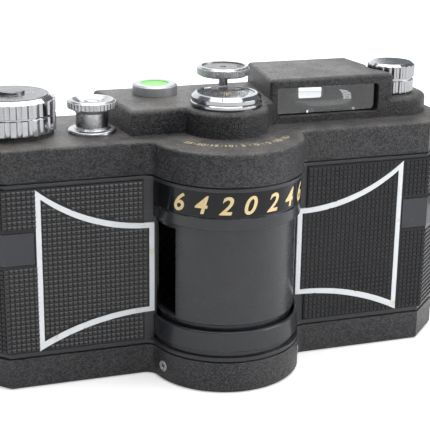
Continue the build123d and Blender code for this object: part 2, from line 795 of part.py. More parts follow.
with BuildPart() as finder_block:
    with BuildSketch(Plane.XY.offset(deck_z - 2.0)):
        Polygon(*finder_pts, align=None)
    extrude(amount=finder_z - deck_z + 2.0)
    fillet(finder_block.edges().filter_by(Axis.Z), 0.9)
    top_edge(finder_block, finder_z, 1.1)

with BuildPart() as platform_block:
    with BuildSketch(Plane.XY.offset(deck_z - 2.0)):
        Polygon(*platform_pts, align=None)
        with Locations((dial_x, dial_y)):
            Circle(dial_boss_r)
    extrude(amount=platform_z - deck_z + 2.0)
    top_edge(platform_block, platform_z, 1.4)

with BuildPart() as rewind_block:
    with BuildSketch(Plane.XY.offset(deck_z - 2.0)):
        with Locations((cassette_x, cassette_y)):
            Circle(rewind_boss_r)
            Rectangle(14, 2 * rewind_boss_r, align=(Align.MAX, Align.CENTER))
        with Locations((cassette_x, cassette_y)):
            Rectangle(2 * rewind_boss_r, 12, align=(Align.CENTER, Align.MIN))
    extrude(amount=rewind_boss_z - deck_z + 2.0)
    top_edge(rewind_block, rewind_boss_z, 1.5)

with BuildPart() as top_cover:
    with BuildSketch(Plane.XY.offset(body_top_z)):
        add(body_plan(0, True))
    extrude(amount=deck_z - body_top_z)
    top_edge(top_cover, deck_z, 0.9)
    add(platform_block.part)
    add(finder_block.part)
    add(rewind_block.part)
    with BuildSketch(Plane.XY.offset(deck_z)):
        with Locations((take_up_x, take_up_y)):
            Circle(11.4)
    extrude(amount=knob_low_z - 0.3 - deck_z)
    # hollow inside
    with BuildSketch(Plane.XY.offset(body_top_z)):
        add(body_plan(-wall, True))
    extrude(amount=deck_z - body_top_z - 1.6, mode=Mode.SUBTRACT)
    with BuildSketch(Plane.XY.offset(deck_z - 1.7)):
        Polygon(*platform_in, align=None)
    extrude(amount=platform_z - deck_z - 0.1, mode=Mode.SUBTRACT)
    with BuildSketch(Plane.XY.offset(deck_z - 1.7)):
        Polygon(*finder_in, align=None)
    extrude(amount=finder_z - deck_z + 0.1, mode=Mode.SUBTRACT)
    # window and eyepiece openings of the viewfinder
    with BuildSketch(Plane.XZ.offset(-finder_front_y + 1)):
        with Locations(((window_x0 + window_x1) / 2, (window_z0 + window_z1) / 2)):
            RectangleRounded(window_x1 - window_x0, window_z1 - window_z0, 1.1)
    extrude(amount=-4, mode=Mode.SUBTRACT)
    with BuildSketch(Plane.XZ.offset(-back_y - 1)):
        with Locations((eye_x, eye_z)):
            RectangleRounded(13.0, 8.0, 1.2)
    extrude(amount=4, mode=Mode.SUBTRACT)
    # scallop in the finder's side that clears the rewind knob
    with BuildSketch(Plane.XY.offset(rewind_boss_z)):
        with Locations((cassette_x, cassette_y)):
            Circle(7.7)
    extrude(amount=12, mode=Mode.SUBTRACT)
    # holes for the controls
    with BuildSketch(Plane.XY.offset(body_top_z)):
        with Locations((take_up_x, take_up_y)):
            Circle(2.4)
        with Locations((release_x, release_y)):
            Circle(2.6)
        with Locations((cassette_x, cassette_y)):
            Circle(3.4)
        with Locations((dial_x, dial_y)):
            Circle(1.55)
        with Locations((speed_x, speed_y)):
            Circle(1.4)
    extrude(amount=20, mode=Mode.SUBTRACT)
save(top_cover.part, "top_cover")

# ---------------------------------------------------------------- viewfinder optics
lens_mid_x = (window_x0 + window_x1) / 2
lens_mid_z = (window_z0 + window_z1) / 2
with BuildPart() as finder_front_lens:
    with BuildSketch(Plane.XZ.offset(-finder_front_y - 1.7)):
        with Locations((lens_mid_x, lens_mid_z)):
            Rectangle(window_x1 - window_x0 + 0.6, window_z1 - window_z0 + 1.0)
    extrude(amount=-1.4)
save(finder_front_lens.part, "finder_front_lens")

with BuildPart() as finder_tunnel:
    with BuildSketch(Plane.XZ.offset(-finder_front_y - 3.3)):
        with Locations((lens_mid_x, lens_mid_z)):
            Rectangle(window_x1 - window_x0 + 0.2, window_z1 - window_z0 + 0.6)
    with BuildSketch(Plane.XZ.offset(-back_y + 3.4)):
        with Locations((eye_x, eye_z)):
            Rectangle(15.4, 9.8)
    loft()
    with BuildSketch(Plane.XZ.offset(-finder_front_y - 3.3)):
        with Locations((lens_mid_x, lens_mid_z)):
            Rectangle(window_x1 - window_x0 - 0.8, window_z1 - window_z0 - 0.4)
    with BuildSketch(Plane.XZ.offset(-back_y + 3.4)):
        with Locations((eye_x, eye_z)):
            Rectangle(13.4, 8.2)
    loft(mode=Mode.SUBTRACT)
save(finder_tunnel.part, "finder_tunnel")

with BuildPart() as finder_rear_lens:
    with BuildSketch(Plane.XZ.offset(-back_y + 3.2)):
        with Locations((eye_x, eye_z)):
            RectangleRounded(14.6, 9.4, 1.2)
    extrude(amount=-1.6)
save(finder_rear_lens.part, "finder_rear_lens")

with BuildPart() as eyepiece_frame:
    with BuildSketch(Plane.XZ.offset(-back_y)):
        with Locations((eye_x, eye_z)):
            RectangleRounded(17.0, 11.6, 2.0)
            RectangleRounded(12.4, 7.4, 1.0, mode=Mode.SUBTRACT)
    extrude(amount=-1.6)
    with BuildSketch(Plane.XZ.offset(-back_y)):
        with Locations((eye_x, eye_z)):
            RectangleRounded(12.96, 7.96, 1.18)
            RectangleRounded(11.4, 6.4, 1.0, mode=Mode.SUBTRACT)
    extrude(amount=1.5)
save(eyepiece_frame.part, "eyepiece_frame")

# ---------------------------------------------------------------- spirit level
with BuildPart() as level_ring:
    with BuildSketch(Plane.XY.offset(platform_z)):
        with Locations((level_x, level_y)):
            Circle(6.55)
    extrude(amount=2.9)
    chamfer(level_ring.faces().sort_by(Axis.Z)[-1].edges(), 0.5)
    with BuildSketch(Plane.XY.offset(platform_z)):
        with Locations((level_x, level_y)):
            Circle(4.9)
    extrude(amount=2.1, mode=Mode.SUBTRACT)
    with BuildSketch(Plane.XY.offset(platform_z + 2.1)):
        with Locations((level_x, level_y)):
            Circle(4.1)
    extrude(amount=0.8, mode=Mode.SUBTRACT)
save(level_ring.part, "level_ring")
with BuildPart() as level_vial:
    with BuildSketch(Plane.XY.offset(platform_z)):
        with Locations((level_x, level_y)):
            Circle(4.9)
    extrude(amount=2.1)
    with BuildSketch(Plane.XY.offset(platform_z + 2.1)):
        with Locations((level_x, level_y)):
            Circle(4.1)
    extrude(amount=0.5)
save(level_vial.part, "level_vial")

# ---------------------------------------------------------------- aperture dial
with BuildPart() as aperture_base:
    with BuildSketch(Plane.XY.offset(platform_z)):
        with Locations((dial_x, dial_y)):
            Circle(9.2)
    extrude(amount=0.5)
    with BuildSketch(Plane.XY.offset(platform_z + 0.5)):
        with Locations((dial_x, dial_y)):
            Circle(10.05)
    extrude(amount=1.0)
    chamfer(aperture_base.faces().sort_by(Axis.Z)[-1].edges(), 0.35)
    with BuildSketch(Plane.XY.offset(platform_z)):
        with Locations((dial_x, dial_y)):
            Circle(1.56)
    extrude(amount=2, mode=Mode.SUBTRACT)
save(aperture_base.part, "aperture_base")

dial_low_z = platform_z + 1.6
with BuildPart() as aperture_ring:
    with BuildSketch(Plane.XY.offset(dial_low_z)):
        with Locations((dial_x, dial_y)):
            Circle(9.75)
    extrude(amount=2.0)
    chamfer(aperture_ring.faces().sort_by(Axis.Z)[-1].edges(), 0.95)
    with BuildSketch(Plane.XY.offset(dial_low_z + 0.3)):
        with Locations((dial_x, dial_y)):
            Circle(8.0)
    extrude(amount=2, mode=Mode.SUBTRACT)
    with BuildSketch(Plane.XY.offset(65.4)):
        with Locations((dial_x, dial_y)):
            Circle(1.5)
    extrude(amount=dial_low_z - 65.4)
save(aperture_ring.part, "aperture_ring")

with BuildPart() as aperture_scale:
    with BuildSketch(Plane.XY.offset(dial_low_z + 0.3)):
        with Locations((dial_x, dial_y)):
            Circle(7.95)
    extrude(amount=0.5)
save(aperture_scale.part, "aperture_scale")

with BuildPart() as aperture_hub:
    with BuildSketch(Plane.XY.offset(dial_low_z + 0.8)):
        with Locations((dial_x, dial_y)):
            Circle(1.5)
    extrude(amount=0.5)
save(aperture_hub.part, "aperture_hub")

with BuildPart() as aperture_window:
    with BuildSketch(Plane.XY.offset(dial_low_z + 1.35)):
        with Locations((dial_x, dial_y)):
            Circle(8.0)
    extrude(amount=0.5)
save(aperture_window.part, "aperture_window")

# ---------------------------------------------------------------- shutter speed dial
speed_low_z, speed_high_z = 80.6, 83.4
with BuildPart() as speed_dial:
    with BuildSketch(Plane.XY.offset(speed_low_z)):
        with Locations((speed_x, speed_y)):
            Circle(6.9)
    extrude(amount=0.4)
    with BuildSketch(Plane.XY.offset(speed_low_z + 0.4)):
        with Locations((speed_x, speed_y)):
            add(fluted_outline(7.7, 0.14, 72, 0.22))
    extrude(amount=1.9)
    with BuildSketch(Plane.XY.offset(speed_low_z + 2.3)):
        with Locations((speed_x, speed_y)):
            Circle(7.5)
    extrude(amount=speed_high_z - speed_low_z - 2.3, taper=40)
    with BuildSketch(Plane.XY.offset(speed_high_z - 0.6)):
        with Locations((speed_x, speed_y)):
            Circle(6.3)
    extrude(amount=1.0, mode=Mode.SUBTRACT)
    with BuildSketch(Plane.XY.offset(66.0)):
        with Locations((speed_x, speed_y)):
            Circle(1.34)
    extrude(amount=speed_low_z - 66.0)
save(speed_dial.part, "speed_dial")
speed_scale = ring_part(6.25, 0.9, speed_high_z - 0.6, speed_high_z - 0.35, (speed_x, speed_y))
save(speed_scale.part, "speed_scale")

# ---------------------------------------------------------------- rewind knob
rewind_low_z, rewind_high_z = 74.5, 83.1
rewind_flutes = 22
with BuildPart() as rewind_knob:
    with BuildSketch(Plane.XY.offset(rewind_low_z)):
        with Locations((cassette_x, cassette_y)):
            add(fluted_outline(6.9, 0.45, rewind_flutes, 0.8))
    extrude(amount=3.6)
    with BuildSketch(Plane.XY.offset(rewind_low_z + 3.6)):
        with Locations((cassette_x, cassette_y)):
            Circle(6.3)
    extrude(amount=0.9)
    with BuildSketch(Plane.XY.offset(rewind_low_z + 4.5)):
        with Locations((cassette_x, cassette_y)):
            add(fluted_outline(7.1, 0.45, rewind_flutes, 0.8))
    extrude(amount=3.4)
    with BuildSketch(Plane.XY.offset(rewind_low_z + 7.9)):
        with Locations((cassette_x, cassette_y)):
            Circle(6.8)
    extrude(amount=rewind_high_z - rewind_low_z - 7.9, taper=45)
save(rewind_knob.part, "rewind_knob")

with BuildPart() as rewind_shaft:
    with BuildSketch(Plane.XY.offset(50.5)):
        with Locations((cassette_x, cassette_y)):
            Circle(3.0)
    extrude(amount=rewind_low_z - 50.5)
    with BuildSketch(Plane.XY.offset(50.5)):
        with Locations((cassette_x, cassette_y)):
            Rectangle(1.6, 8)
    extrude(amount=5.0, mode=Mode.SUBTRACT)
save(rewind_shaft.part, "rewind_shaft")
rewind_sleeve = ring_part(4.2, 3.06, 60.3, 61.9, (cassette_x, cassette_y))
save(rewind_sleeve.part, "rewind_sleeve")

# ---------------------------------------------------------------- back door
door_low_z, door_high_z = bottom_top_z + 0.3, body_top_z - 0.3
door_half = 70.6
with BuildPart() as back_door:
    with BuildSketch(Plane.XY.offset(door_low_z)):
        with Locations(((door_half + hinge_x) / 2 + 1, (door_y + back_y) / 2)):
            Rectangle(door_half - hinge_x - 2, back_y - door_y)
    extrude(amount=door_high_z - door_low_z)
    fillet(back_door.edges().filter_by(Axis.Z).sort_by(Axis.X)[-2:], 1.2)
    with BuildSketch(Plane.XY.offset(door_low_z)):
        with Locations((hinge_x, hinge_y)):
            Circle(2.1)
            Rectangle(4, 3.2, align=(Align.MIN, Align.CENTER))
    extrude(amount=door_high_z - door_low_z)
    # shallow hollow inside the door
    with BuildSketch(Plane.XZ.offset(-door_y)):
        with Locations((0, film_mid_z)):
            Rectangle(128, 42)
    extrude(amount=-2.2, mode=Mode.SUBTRACT)
    with BuildSketch(Plane.XY.offset(door_low_z)):
        with Locations((hinge_x, hinge_y)):
            Circle(0.86)
    extrude(amount=door_high_z - door_low_z, mode=Mode.SUBTRACT)
save(back_door.part, "back_door")

with BuildPart() as door_hinge_pin:
    with BuildSketch(Plane.XY.offset(bottom_top_z)):
        with Locations((hinge_x, hinge_y)):
            Circle(0.8)
    extrude(amount=body_top_z - bottom_top_z)
save(door_hinge_pin.part, "door_hinge_pin")

with BuildPart() as door_leatherette:
    with BuildSketch(Plane.XZ.offset(-back_y)):
        with Locations((0.6, film_mid_z)):
            RectangleRounded(134, 45, 1.5)
    extrude(amount=-0.5)
save(door_leatherette.part, "door_leatherette")

with BuildPart() as pressure_plate:
    with BuildSketch(Plane.XY.offset(16.4)):
        Circle(film_r + 1.7)
        Circle(film_r + 0.95, mode=Mode.SUBTRACT)
        Polygon((0, 0), (60, 50.3), (-60, 50.3), align=None, mode=Mode.INTERSECT)
    extrude(amount=35.2)
    with BuildSketch(Plane.XZ.offset(-film_r - 0.2)):
        with Locations((-8, 24), (8, 24), (-8, 44), (8, 44)):
            Circle(1.5)
    extrude(amount=-(door_y + 2.2 - film_r - 0.2))
save(pressure_plate.part, "pressure_plate")

with BuildPart() as door_latch:
    with BuildSketch(Plane.XY.offset(27.0)):
        with Locations((half_width + skin - 0.15, 25.0)):
            Rectangle(1.5, 8.0, align=(Align.MIN, Align.CENTER))
    extrude(amount=14.0)
    for n in range(5):
        with BuildSketch(Plane.XY.offset(29.6 + 2.0 * n)):
            with Locations((half_width + skin + 1.2, 25.0)):
                Rectangle(0.6, 6.0, align=(Align.MIN, Align.CENTER))
        extrude(amount=0.9)
save(door_latch.part, "door_latch")
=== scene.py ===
import json
import math

import bpy
from mathutils import Matrix, Vector
from mathutils.bvhtree import BVHTree

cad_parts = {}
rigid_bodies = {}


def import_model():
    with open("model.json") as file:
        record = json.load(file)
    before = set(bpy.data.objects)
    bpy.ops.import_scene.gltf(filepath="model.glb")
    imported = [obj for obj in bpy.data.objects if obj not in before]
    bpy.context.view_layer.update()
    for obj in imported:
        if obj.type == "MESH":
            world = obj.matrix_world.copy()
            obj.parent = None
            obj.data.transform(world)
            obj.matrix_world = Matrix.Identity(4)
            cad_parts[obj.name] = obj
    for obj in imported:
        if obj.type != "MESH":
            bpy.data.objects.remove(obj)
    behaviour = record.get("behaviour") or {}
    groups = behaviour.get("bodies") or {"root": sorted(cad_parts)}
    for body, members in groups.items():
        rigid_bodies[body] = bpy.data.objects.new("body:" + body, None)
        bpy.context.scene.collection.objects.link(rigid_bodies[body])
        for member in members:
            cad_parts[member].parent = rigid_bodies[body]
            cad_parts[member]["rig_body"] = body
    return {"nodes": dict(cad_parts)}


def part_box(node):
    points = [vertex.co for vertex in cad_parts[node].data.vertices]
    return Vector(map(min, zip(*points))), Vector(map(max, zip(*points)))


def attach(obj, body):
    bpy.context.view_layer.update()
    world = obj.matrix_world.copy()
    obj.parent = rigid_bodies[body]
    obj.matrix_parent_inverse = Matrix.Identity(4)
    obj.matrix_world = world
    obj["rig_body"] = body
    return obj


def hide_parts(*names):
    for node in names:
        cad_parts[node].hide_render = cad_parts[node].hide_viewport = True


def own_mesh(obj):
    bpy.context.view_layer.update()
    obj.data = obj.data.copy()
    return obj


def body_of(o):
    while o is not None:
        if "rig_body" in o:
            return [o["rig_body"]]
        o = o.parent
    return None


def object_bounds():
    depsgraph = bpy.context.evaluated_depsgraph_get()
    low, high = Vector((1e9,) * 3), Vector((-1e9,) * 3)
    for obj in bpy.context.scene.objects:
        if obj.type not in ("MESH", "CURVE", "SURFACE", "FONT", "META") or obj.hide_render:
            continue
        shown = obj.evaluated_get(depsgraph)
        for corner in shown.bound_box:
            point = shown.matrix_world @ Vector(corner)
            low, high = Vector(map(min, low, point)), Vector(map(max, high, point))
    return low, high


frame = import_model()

cad_low, cad_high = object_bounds()
cad = frame["nodes"]
bpy.ops.object.select_all(action="DESELECT")

# ---------------------------------------------------------------------------
# Top and bottom covers.  Two aluminium castings in black crackle enamel,
# stove-dried so that it wrinkles into fine grains, rubbed grey on the rims
# and holding dust in the grain.  The grain's colour is darker in the pits of
# the wrinkles and lighter on their tops, painted shade and sheen, and the
# dust film on the faces that look up is partly painted top light.
# ---------------------------------------------------------------------------
mm = 0.001
grain_pit_shade, grain_top_sheen = (0.003, 0.003, 0.004, 1), (0.068, 0.068, 0.074, 1)
deck_dust_and_top_light, bare_rim = (0.25, 0.232, 0.208, 1), (0.22, 0.21, 0.20, 1)
pale_speck, rust_speck = (0.24, 0.22, 0.18, 1), (0.20, 0.10, 0.035, 1)
dust_pitch, rust_pitch = 1.9 * mm, 5.5 * mm
dome_share, wrinkle_share = 0.8, 0.9
rounded_agrees, worn_agrees = 0.995, 0.86


def put(tree, kind, inputs=None, **settings):
    """Adds a node, sets it, and gives each named input a value or a link."""
    made = tree.nodes.new(kind)
    for key, value in settings.items():
        setattr(made, key, value)
    for key, value in (inputs or {}).items():
        if isinstance(value, bpy.types.NodeSocket):
            tree.links.new(value, made.inputs[key])
        else:
            made.inputs[key].default_value = value
    return made


def calc(tree, operation, first, second=0.0, third=0.0):
    """One Math node."""
    inputs = {0: first, 1: second, 2: third}
    return put(tree, "ShaderNodeMath", inputs, operation=operation).outputs[0]


def tint(tree, share, first, second):
    """One colour Mix node, from first to second as share goes from 0 to 1."""
    mixed = put(tree, "ShaderNodeMix", {0: share, 6: first, 7: second}, data_type="RGBA")
    return mixed.outputs[2]


def span(tree, value, low, high, to_low=0.0, to_high=1.0):
    """Stretches value from low..high to to_low..to_high, clamped."""
    inputs = {"Value": value, "From Min": low, "From Max": high, "To Min": to_low, "To Max": to_high}
    return put(tree, "ShaderNodeMapRange", inputs).outputs[0]


def object_place(tree):
    """The place on the piece that every pattern follows."""
    return put(tree, "ShaderNodeTexCoord").outputs["Object"]


def noise(tree, place, size, detail=2.0, rough=0.5):
    """Noise whose blobs are about size across, in metres."""
    inputs = {"Vector": place, "Scale": 1 / size, "Detail": detail, "Roughness": rough}
    return put(tree, "ShaderNodeTexNoise", inputs).outputs["Fac"]


def bumped(tree, height, depth, normal=None):
    """The normal of a surface with a relief of that depth, in metres."""
    inputs = {"Height": height, "Distance": depth, "Strength": 1.0}
    if normal:
        inputs["Normal"] = normal
    return put(tree, "ShaderNodeBump", inputs).outputs[0]


def new_group(name, inputs, outputs):
    """An empty shader group with float inputs and the named outputs."""
    group = bpy.data.node_groups.new(name, "ShaderNodeTree")
    for label, value in inputs.items():
        made = group.interface.new_socket(name=label, in_out="INPUT", socket_type="NodeSocketFloat")
        made.default_value = value
    for label, kind in outputs.items():
        group.interface.new_socket(name=label, in_out="OUTPUT", socket_type=kind)
    return group, group.nodes.new("NodeGroupInput").outputs, group.nodes.new("NodeGroupOutput").inputs


def make_crackle_group():
    """Fine wrinkled grains: Height for the bump, and a tone for each grain's colour that partly follows the
    wrinkles, darker in their pits and lighter on their tops as painted shade and sheen.
    """
    group, given, result = new_group(
        "crackle_grain", {"Grain": 0.5 * mm}, {"Height": "NodeSocketFloat", "ToneShadeSheen": "NodeSocketFloat"}
    )
    place = object_place(group)
    fine = calc(group, "DIVIDE", 1.0, given["Grain"])
    cell_inputs = {"Vector": place, "Scale": fine, "Randomness": 1.0}
    cells = put(group, "ShaderNodeTexVoronoi", cell_inputs, feature="F1")
    finer = calc(group, "MULTIPLY", fine, 1.6)
    wrinkle_inputs = {"Vector": place, "Scale": finer, "Detail": 2.0, "Roughness": 0.6}
    wrinkle = put(group, "ShaderNodeTexNoise", wrinkle_inputs).outputs["Fac"]
    domes = calc(group, "SUBTRACT", 1.0, cells.outputs["Distance"])
    height = calc(group, "ADD", calc(group, "MULTIPLY", domes, dome_share),
                  calc(group, "MULTIPLY", wrinkle, wrinkle_share))
    group.links.new(height, result["Height"])
    shade = put(group, "ShaderNodeSeparateColor", {0: cells.outputs["Color"]}).outputs[0]
    group.links.new(calc(group, "MULTIPLY", shade, wrinkle), result["ToneShadeSheen"])
    return group


def make_edge_group():
    """Softens hard edges and marks where they are rubbed: Mask is 1 on a worn edge."""
    group, given, result = new_group(
        "rubbed_edge", {"Width": 0.4 * mm, "Patch": 4 * mm},
        {"Mask": "NodeSocketFloat", "Normal": "NodeSocketVector"}
    )
    place = object_place(group)
    rounded = put(group, "ShaderNodeBevel", {"Radius": given["Width"]}, samples=4).outputs[0]
    flat = put(group, "ShaderNodeNewGeometry").outputs["Normal"]
    agree = put(group, "ShaderNodeVectorMath", {0: rounded, 1: flat}, operation="DOT_PRODUCT")
    turned = span(group, agree.outputs["Value"], rounded_agrees, worn_agrees)
    patch_scale = calc(group, "DIVIDE", 1.0, given["Patch"])
    patch_inputs = {"Vector": place, "Scale": patch_scale, "Detail": 5.0, "Roughness": 0.65}
    patch = put(group, "ShaderNodeTexNoise", patch_inputs).outputs["Fac"]
    group.links.new(calc(group, "MULTIPLY", turned, span(group, patch, 0.46, 0.62)), result["Mask"])
    group.links.new(rounded, result["Normal"])
    return group


def make_dust_group():
    """Specks is 1 on sparse grains of dust; the film is a soft cloudy layer, thicker on faces that look up:
    settled dust and, where it is strong, painted top light.
    """
    group, given, result = new_group(
        "settled_dust", {"Speck": 1.2 * mm, "Share": 0.5},
        {"Specks": "NodeSocketFloat", "FilmAndTopLight": "NodeSocketFloat"}
    )
    place = object_place(group)
    speck_scale = calc(group, "DIVIDE", 1.0, given["Speck"])
    cells = put(group, "ShaderNodeTexVoronoi", {"Vector": place, "Scale": speck_scale})
    chosen = put(group, "ShaderNodeSeparateColor", {0: cells.outputs["Color"]})
    rare = calc(group, "LESS_THAN", chosen.outputs[0], calc(group, "MULTIPLY", given["Share"], 0.1))
    ragged = calc(group, "MULTIPLY", noise(group, place, 0.3 * mm, 2.0), 0.16)
    reach = calc(group, "MULTIPLY", chosen.outputs[1], ragged)
    dot = calc(group, "LESS_THAN", cells.outputs["Distance"], reach)
    group.links.new(calc(group, "MULTIPLY", rare, dot), result["Specks"])
    facing = put(group, "ShaderNodeTexCoord").outputs["Normal"]
    up = put(group, "ShaderNodeSeparateXYZ", {0: facing}).outputs["Z"]
    cloud = noise(group, place, 9 * mm, 6.0, 0.7)
    film = calc(group, "MULTIPLY", span(group, up, 0.2, 1.0, 0.12, 1.0), span(group, cloud, 0.3, 0.75))
    group.links.new(film, result["FilmAndTopLight"])
    return group


crackle_grain = make_crackle_group()
rubbed_edge = make_edge_group()
settled_dust = make_dust_group()


def new_material(name, **values):
    """A node material with its Principled shader and the constants set on it."""
    made = bpy.data.materials.new(name)
    made.use_nodes = True
    shader = made.node_tree.nodes["Principled BSDF"]
    for label, value in values.items():
        shader.inputs[label.replace("_", " ")].default_value = value
    return made, made.node_tree, shader


def finish_with(material, *names):
    """Gives CAD nodes a material through their material slots."""
    for name in names:
        if not cad[name].material_slots:
            cad[name].data.materials.append(material)
        for slot in cad[name].material_slots:
            slot.material = material


def make_crackle_enamel(name, grain, depth, edge):
    """Crackle finish: grain is a wrinkle's width, depth its height, edge the width of the rubbed rims."""
    made, tree, shader = new_material(name, Specular_IOR_Level=0.4)
    grains = put(tree, "ShaderNodeGroup", {"Grain": grain}, node_tree=crackle_grain)
    worn = put(tree, "ShaderNodeGroup", {"Width": edge, "Patch": 3 * mm}, node_tree=rubbed_edge)
    dust = put(tree, "ShaderNodeGroup", {"Speck": dust_pitch, "Share": 0.9}, node_tree=settled_dust)
    rust = put(tree, "ShaderNodeGroup", {"Speck": rust_pitch, "Share": 0.5}, node_tree=settled_dust)
    # Grain colour: random per grain and following the wrinkles, darker in their pits and lighter on their
    # tops as painted shade and sheen.
    black = tint(tree, span(tree, grains.outputs["ToneShadeSheen"], 0.1, 0.6), grain_pit_shade, grain_top_sheen)
    # Dust film, strongest on faces that look up: real dust, and on the deck also painted top light.
    dusty = tint(tree, calc(tree, "MULTIPLY", dust.outputs["FilmAndTopLight"], 0.58), black, deck_dust_and_top_light)
    rubbed = tint(tree, calc(tree, "MULTIPLY", worn.outputs["Mask"], 0.5), dusty, bare_rim)
    specked = tint(tree, dust.outputs["Specks"], rubbed, pale_speck)
    tree.links.new(tint(tree, rust.outputs["Specks"], specked, rust_speck), shader.inputs["Base Color"])
    tree.links.new(span(tree, grains.outputs["ToneShadeSheen"], 0.0, 0.6, 0.44, 0.24), shader.inputs["Roughness"])
    relief = bumped(tree, grains.outputs["Height"], depth, worn.outputs["Normal"])
    tree.links.new(relief, shader.inputs["Normal"])
    return made


crackle_enamel = make_crackle_enamel("crackle_enamel", 0.40 * mm, 0.26 * mm, 0.5 * mm)
bottom_enamel = make_crackle_enamel("fine_crackle_enamel", 0.34 * mm, 0.08 * mm, 0.4 * mm)
finish_with(crackle_enamel, "top_cover")
finish_with(bottom_enamel, "bottom_cover")

# ---------------------------------------------------------------------------
# Body casting, back door, strap bands and latch.  Smooth black enamel over
# aluminium, semi-gloss, with faint orange peel, hairlines and bright edges
# where straps and fingers have rubbed it.
# ---------------------------------------------------------------------------
cool_low, cool_high = (0.74, 0.76, 0.92), (1.10, 1.13, 1.36)
smooth_dust, rubbed_metal, scratch_grey = (0.16, 0.15, 0.13, 1), (0.20, 0.20, 0.20, 1), (0.22, 0.22, 0.22, 1)
hairline_wide, hairline_narrow = 0.012, 0.002
peel_size, peel_depth = 0.9 * mm, 0.012 * mm


def make_scratch_group():
    """Mask is 1 along long fine hairlines that run every way."""
    group, given, result = new_group("hairlines", {"Spacing": 1.5 * mm}, {"Mask": "NodeSocketFloat"})
    place = object_place(group)
    lines = None
    for turn, stretch in ((0.5, 14.0), (1.9, 20.0)):
        moved = put(group, "ShaderNodeMapping", {
            "Vector": place, "Rotation": (turn, turn * 0.7, turn * 1.3), "Scale": (1.0, stretch, stretch)})
        line_scale = calc(group, "DIVIDE", 0.12, given["Spacing"])
        pattern = put(group, "ShaderNodeTexNoise", {
            "Vector": moved.outputs[0], "Detail": 1.0, "Scale": line_scale}).outputs["Fac"]
        off_line = calc(group, "ABSOLUTE", calc(group, "SUBTRACT", pattern, 0.5))
        line = span(group, off_line, hairline_wide, hairline_narrow)
        lines = line if lines is None else calc(group, "MAXIMUM", lines, line)
    where = span(group, noise(group, place, 7 * mm, 2.0), 0.52, 0.66)
    group.links.new(calc(group, "MULTIPLY", lines, where), result["Mask"])
    return group


hairlines = make_scratch_group()


def make_smooth_enamel(name, shade, gloss, edge, film, coat=0.0):
    """Smooth black finish: shade is its reflectance, gloss its roughness, film how dusty it is."""
    made, tree, shader = new_material(name, Specular_IOR_Level=0.5, Coat_Roughness=0.08)
    shader.inputs["Coat Weight"].default_value = coat
    place = object_place(tree)
    worn = put(tree, "ShaderNodeGroup", {"Width": edge, "Patch": 2.4 * mm}, node_tree=rubbed_edge)
    scratched = put(tree, "ShaderNodeGroup", {"Spacing": 1.2 * mm}, node_tree=hairlines)
    dust = put(tree, "ShaderNodeGroup", {"Speck": 3.4 * mm, "Share": 0.5}, node_tree=settled_dust)
    cloud = noise(tree, place, 12 * mm, 4.0, 0.6)
    deep, pale = (tuple(shade * part for part in cool) + (1,) for cool in (cool_low, cool_high))
    black = tint(tree, cloud, deep, pale)
    dusty = tint(tree, calc(tree, "MULTIPLY", dust.outputs["FilmAndTopLight"], film), black, smooth_dust)
    rubbed = tint(tree, calc(tree, "MULTIPLY", worn.outputs["Mask"], 0.55), dusty, rubbed_metal)
    lined = tint(tree, calc(tree, "MULTIPLY", scratched.outputs["Mask"], 0.16), rubbed, scratch_grey)
    tree.links.new(tint(tree, dust.outputs["Specks"], lined, smooth_dust), shader.inputs["Base Color"])
    smear = noise(tree, place, 5 * mm, 5.0, 0.65)
    tree.links.new(span(tree, smear, 0.3, 0.7, gloss * 0.85, gloss * 1.2), shader.inputs["Roughness"])
    peel = bumped(tree, noise(tree, place, peel_size, 3.0), peel_depth, worn.outputs["Normal"])
    tree.links.new(peel, shader.inputs["Normal"])
    return made


body_enamel = make_smooth_enamel("body_enamel", 0.022, 0.34, 0.3 * mm, 0.10)
finish_with(body_enamel, "body_casting", "back_door")
band_enamel = make_smooth_enamel("strap_band_enamel", 0.030, 0.42, 0.25 * mm, 0.12)
finish_with(band_enamel, "strap_lug_left", "strap_lug_right", "door_latch")

# ---------------------------------------------------------------------------
# Leatherette.  Thin moulded vinyl glued to the front, the ends and the door,
# covered all over in small raised oblong pips.  The skin between the pips is
# a darker, duller copy of the vinyl: painted shade in the gaps.
# ---------------------------------------------------------------------------
pip_pitch_x, pip_pitch_z = 1.333 * mm, 1.365 * mm
pip_width, pip_tall, pip_high = 1.04 * mm, 1.18 * mm, 0.30 * mm
pip_sunk = 0.02 * mm
lobe_cuts = (0.04 * mm, -0.06 * mm, -0.27 * mm)
top_narrowing = (0.80, 1, 0.62)
crease_at, crease_near, crease_deep = -0.059 * mm, 0.03 * mm, 0.17 * mm
lower_lobe_from, lower_lobe_drop = -0.12 * mm, 0.05 * mm
upper_edge_from, upper_edge_slip = 0.2 * mm, 0.14 * mm
skin_gap = 0.03 * mm
row_top = 12.34 * mm
first_column = {-1: 24.06 * mm, 1: 23.71 * mm}
end_chamfer = 10 * mm
vinyl_dust, vinyl_speck, vinyl_cool = (0.18, 0.16, 0.13, 1), (0.19, 0.15, 0.10, 1), 1.15


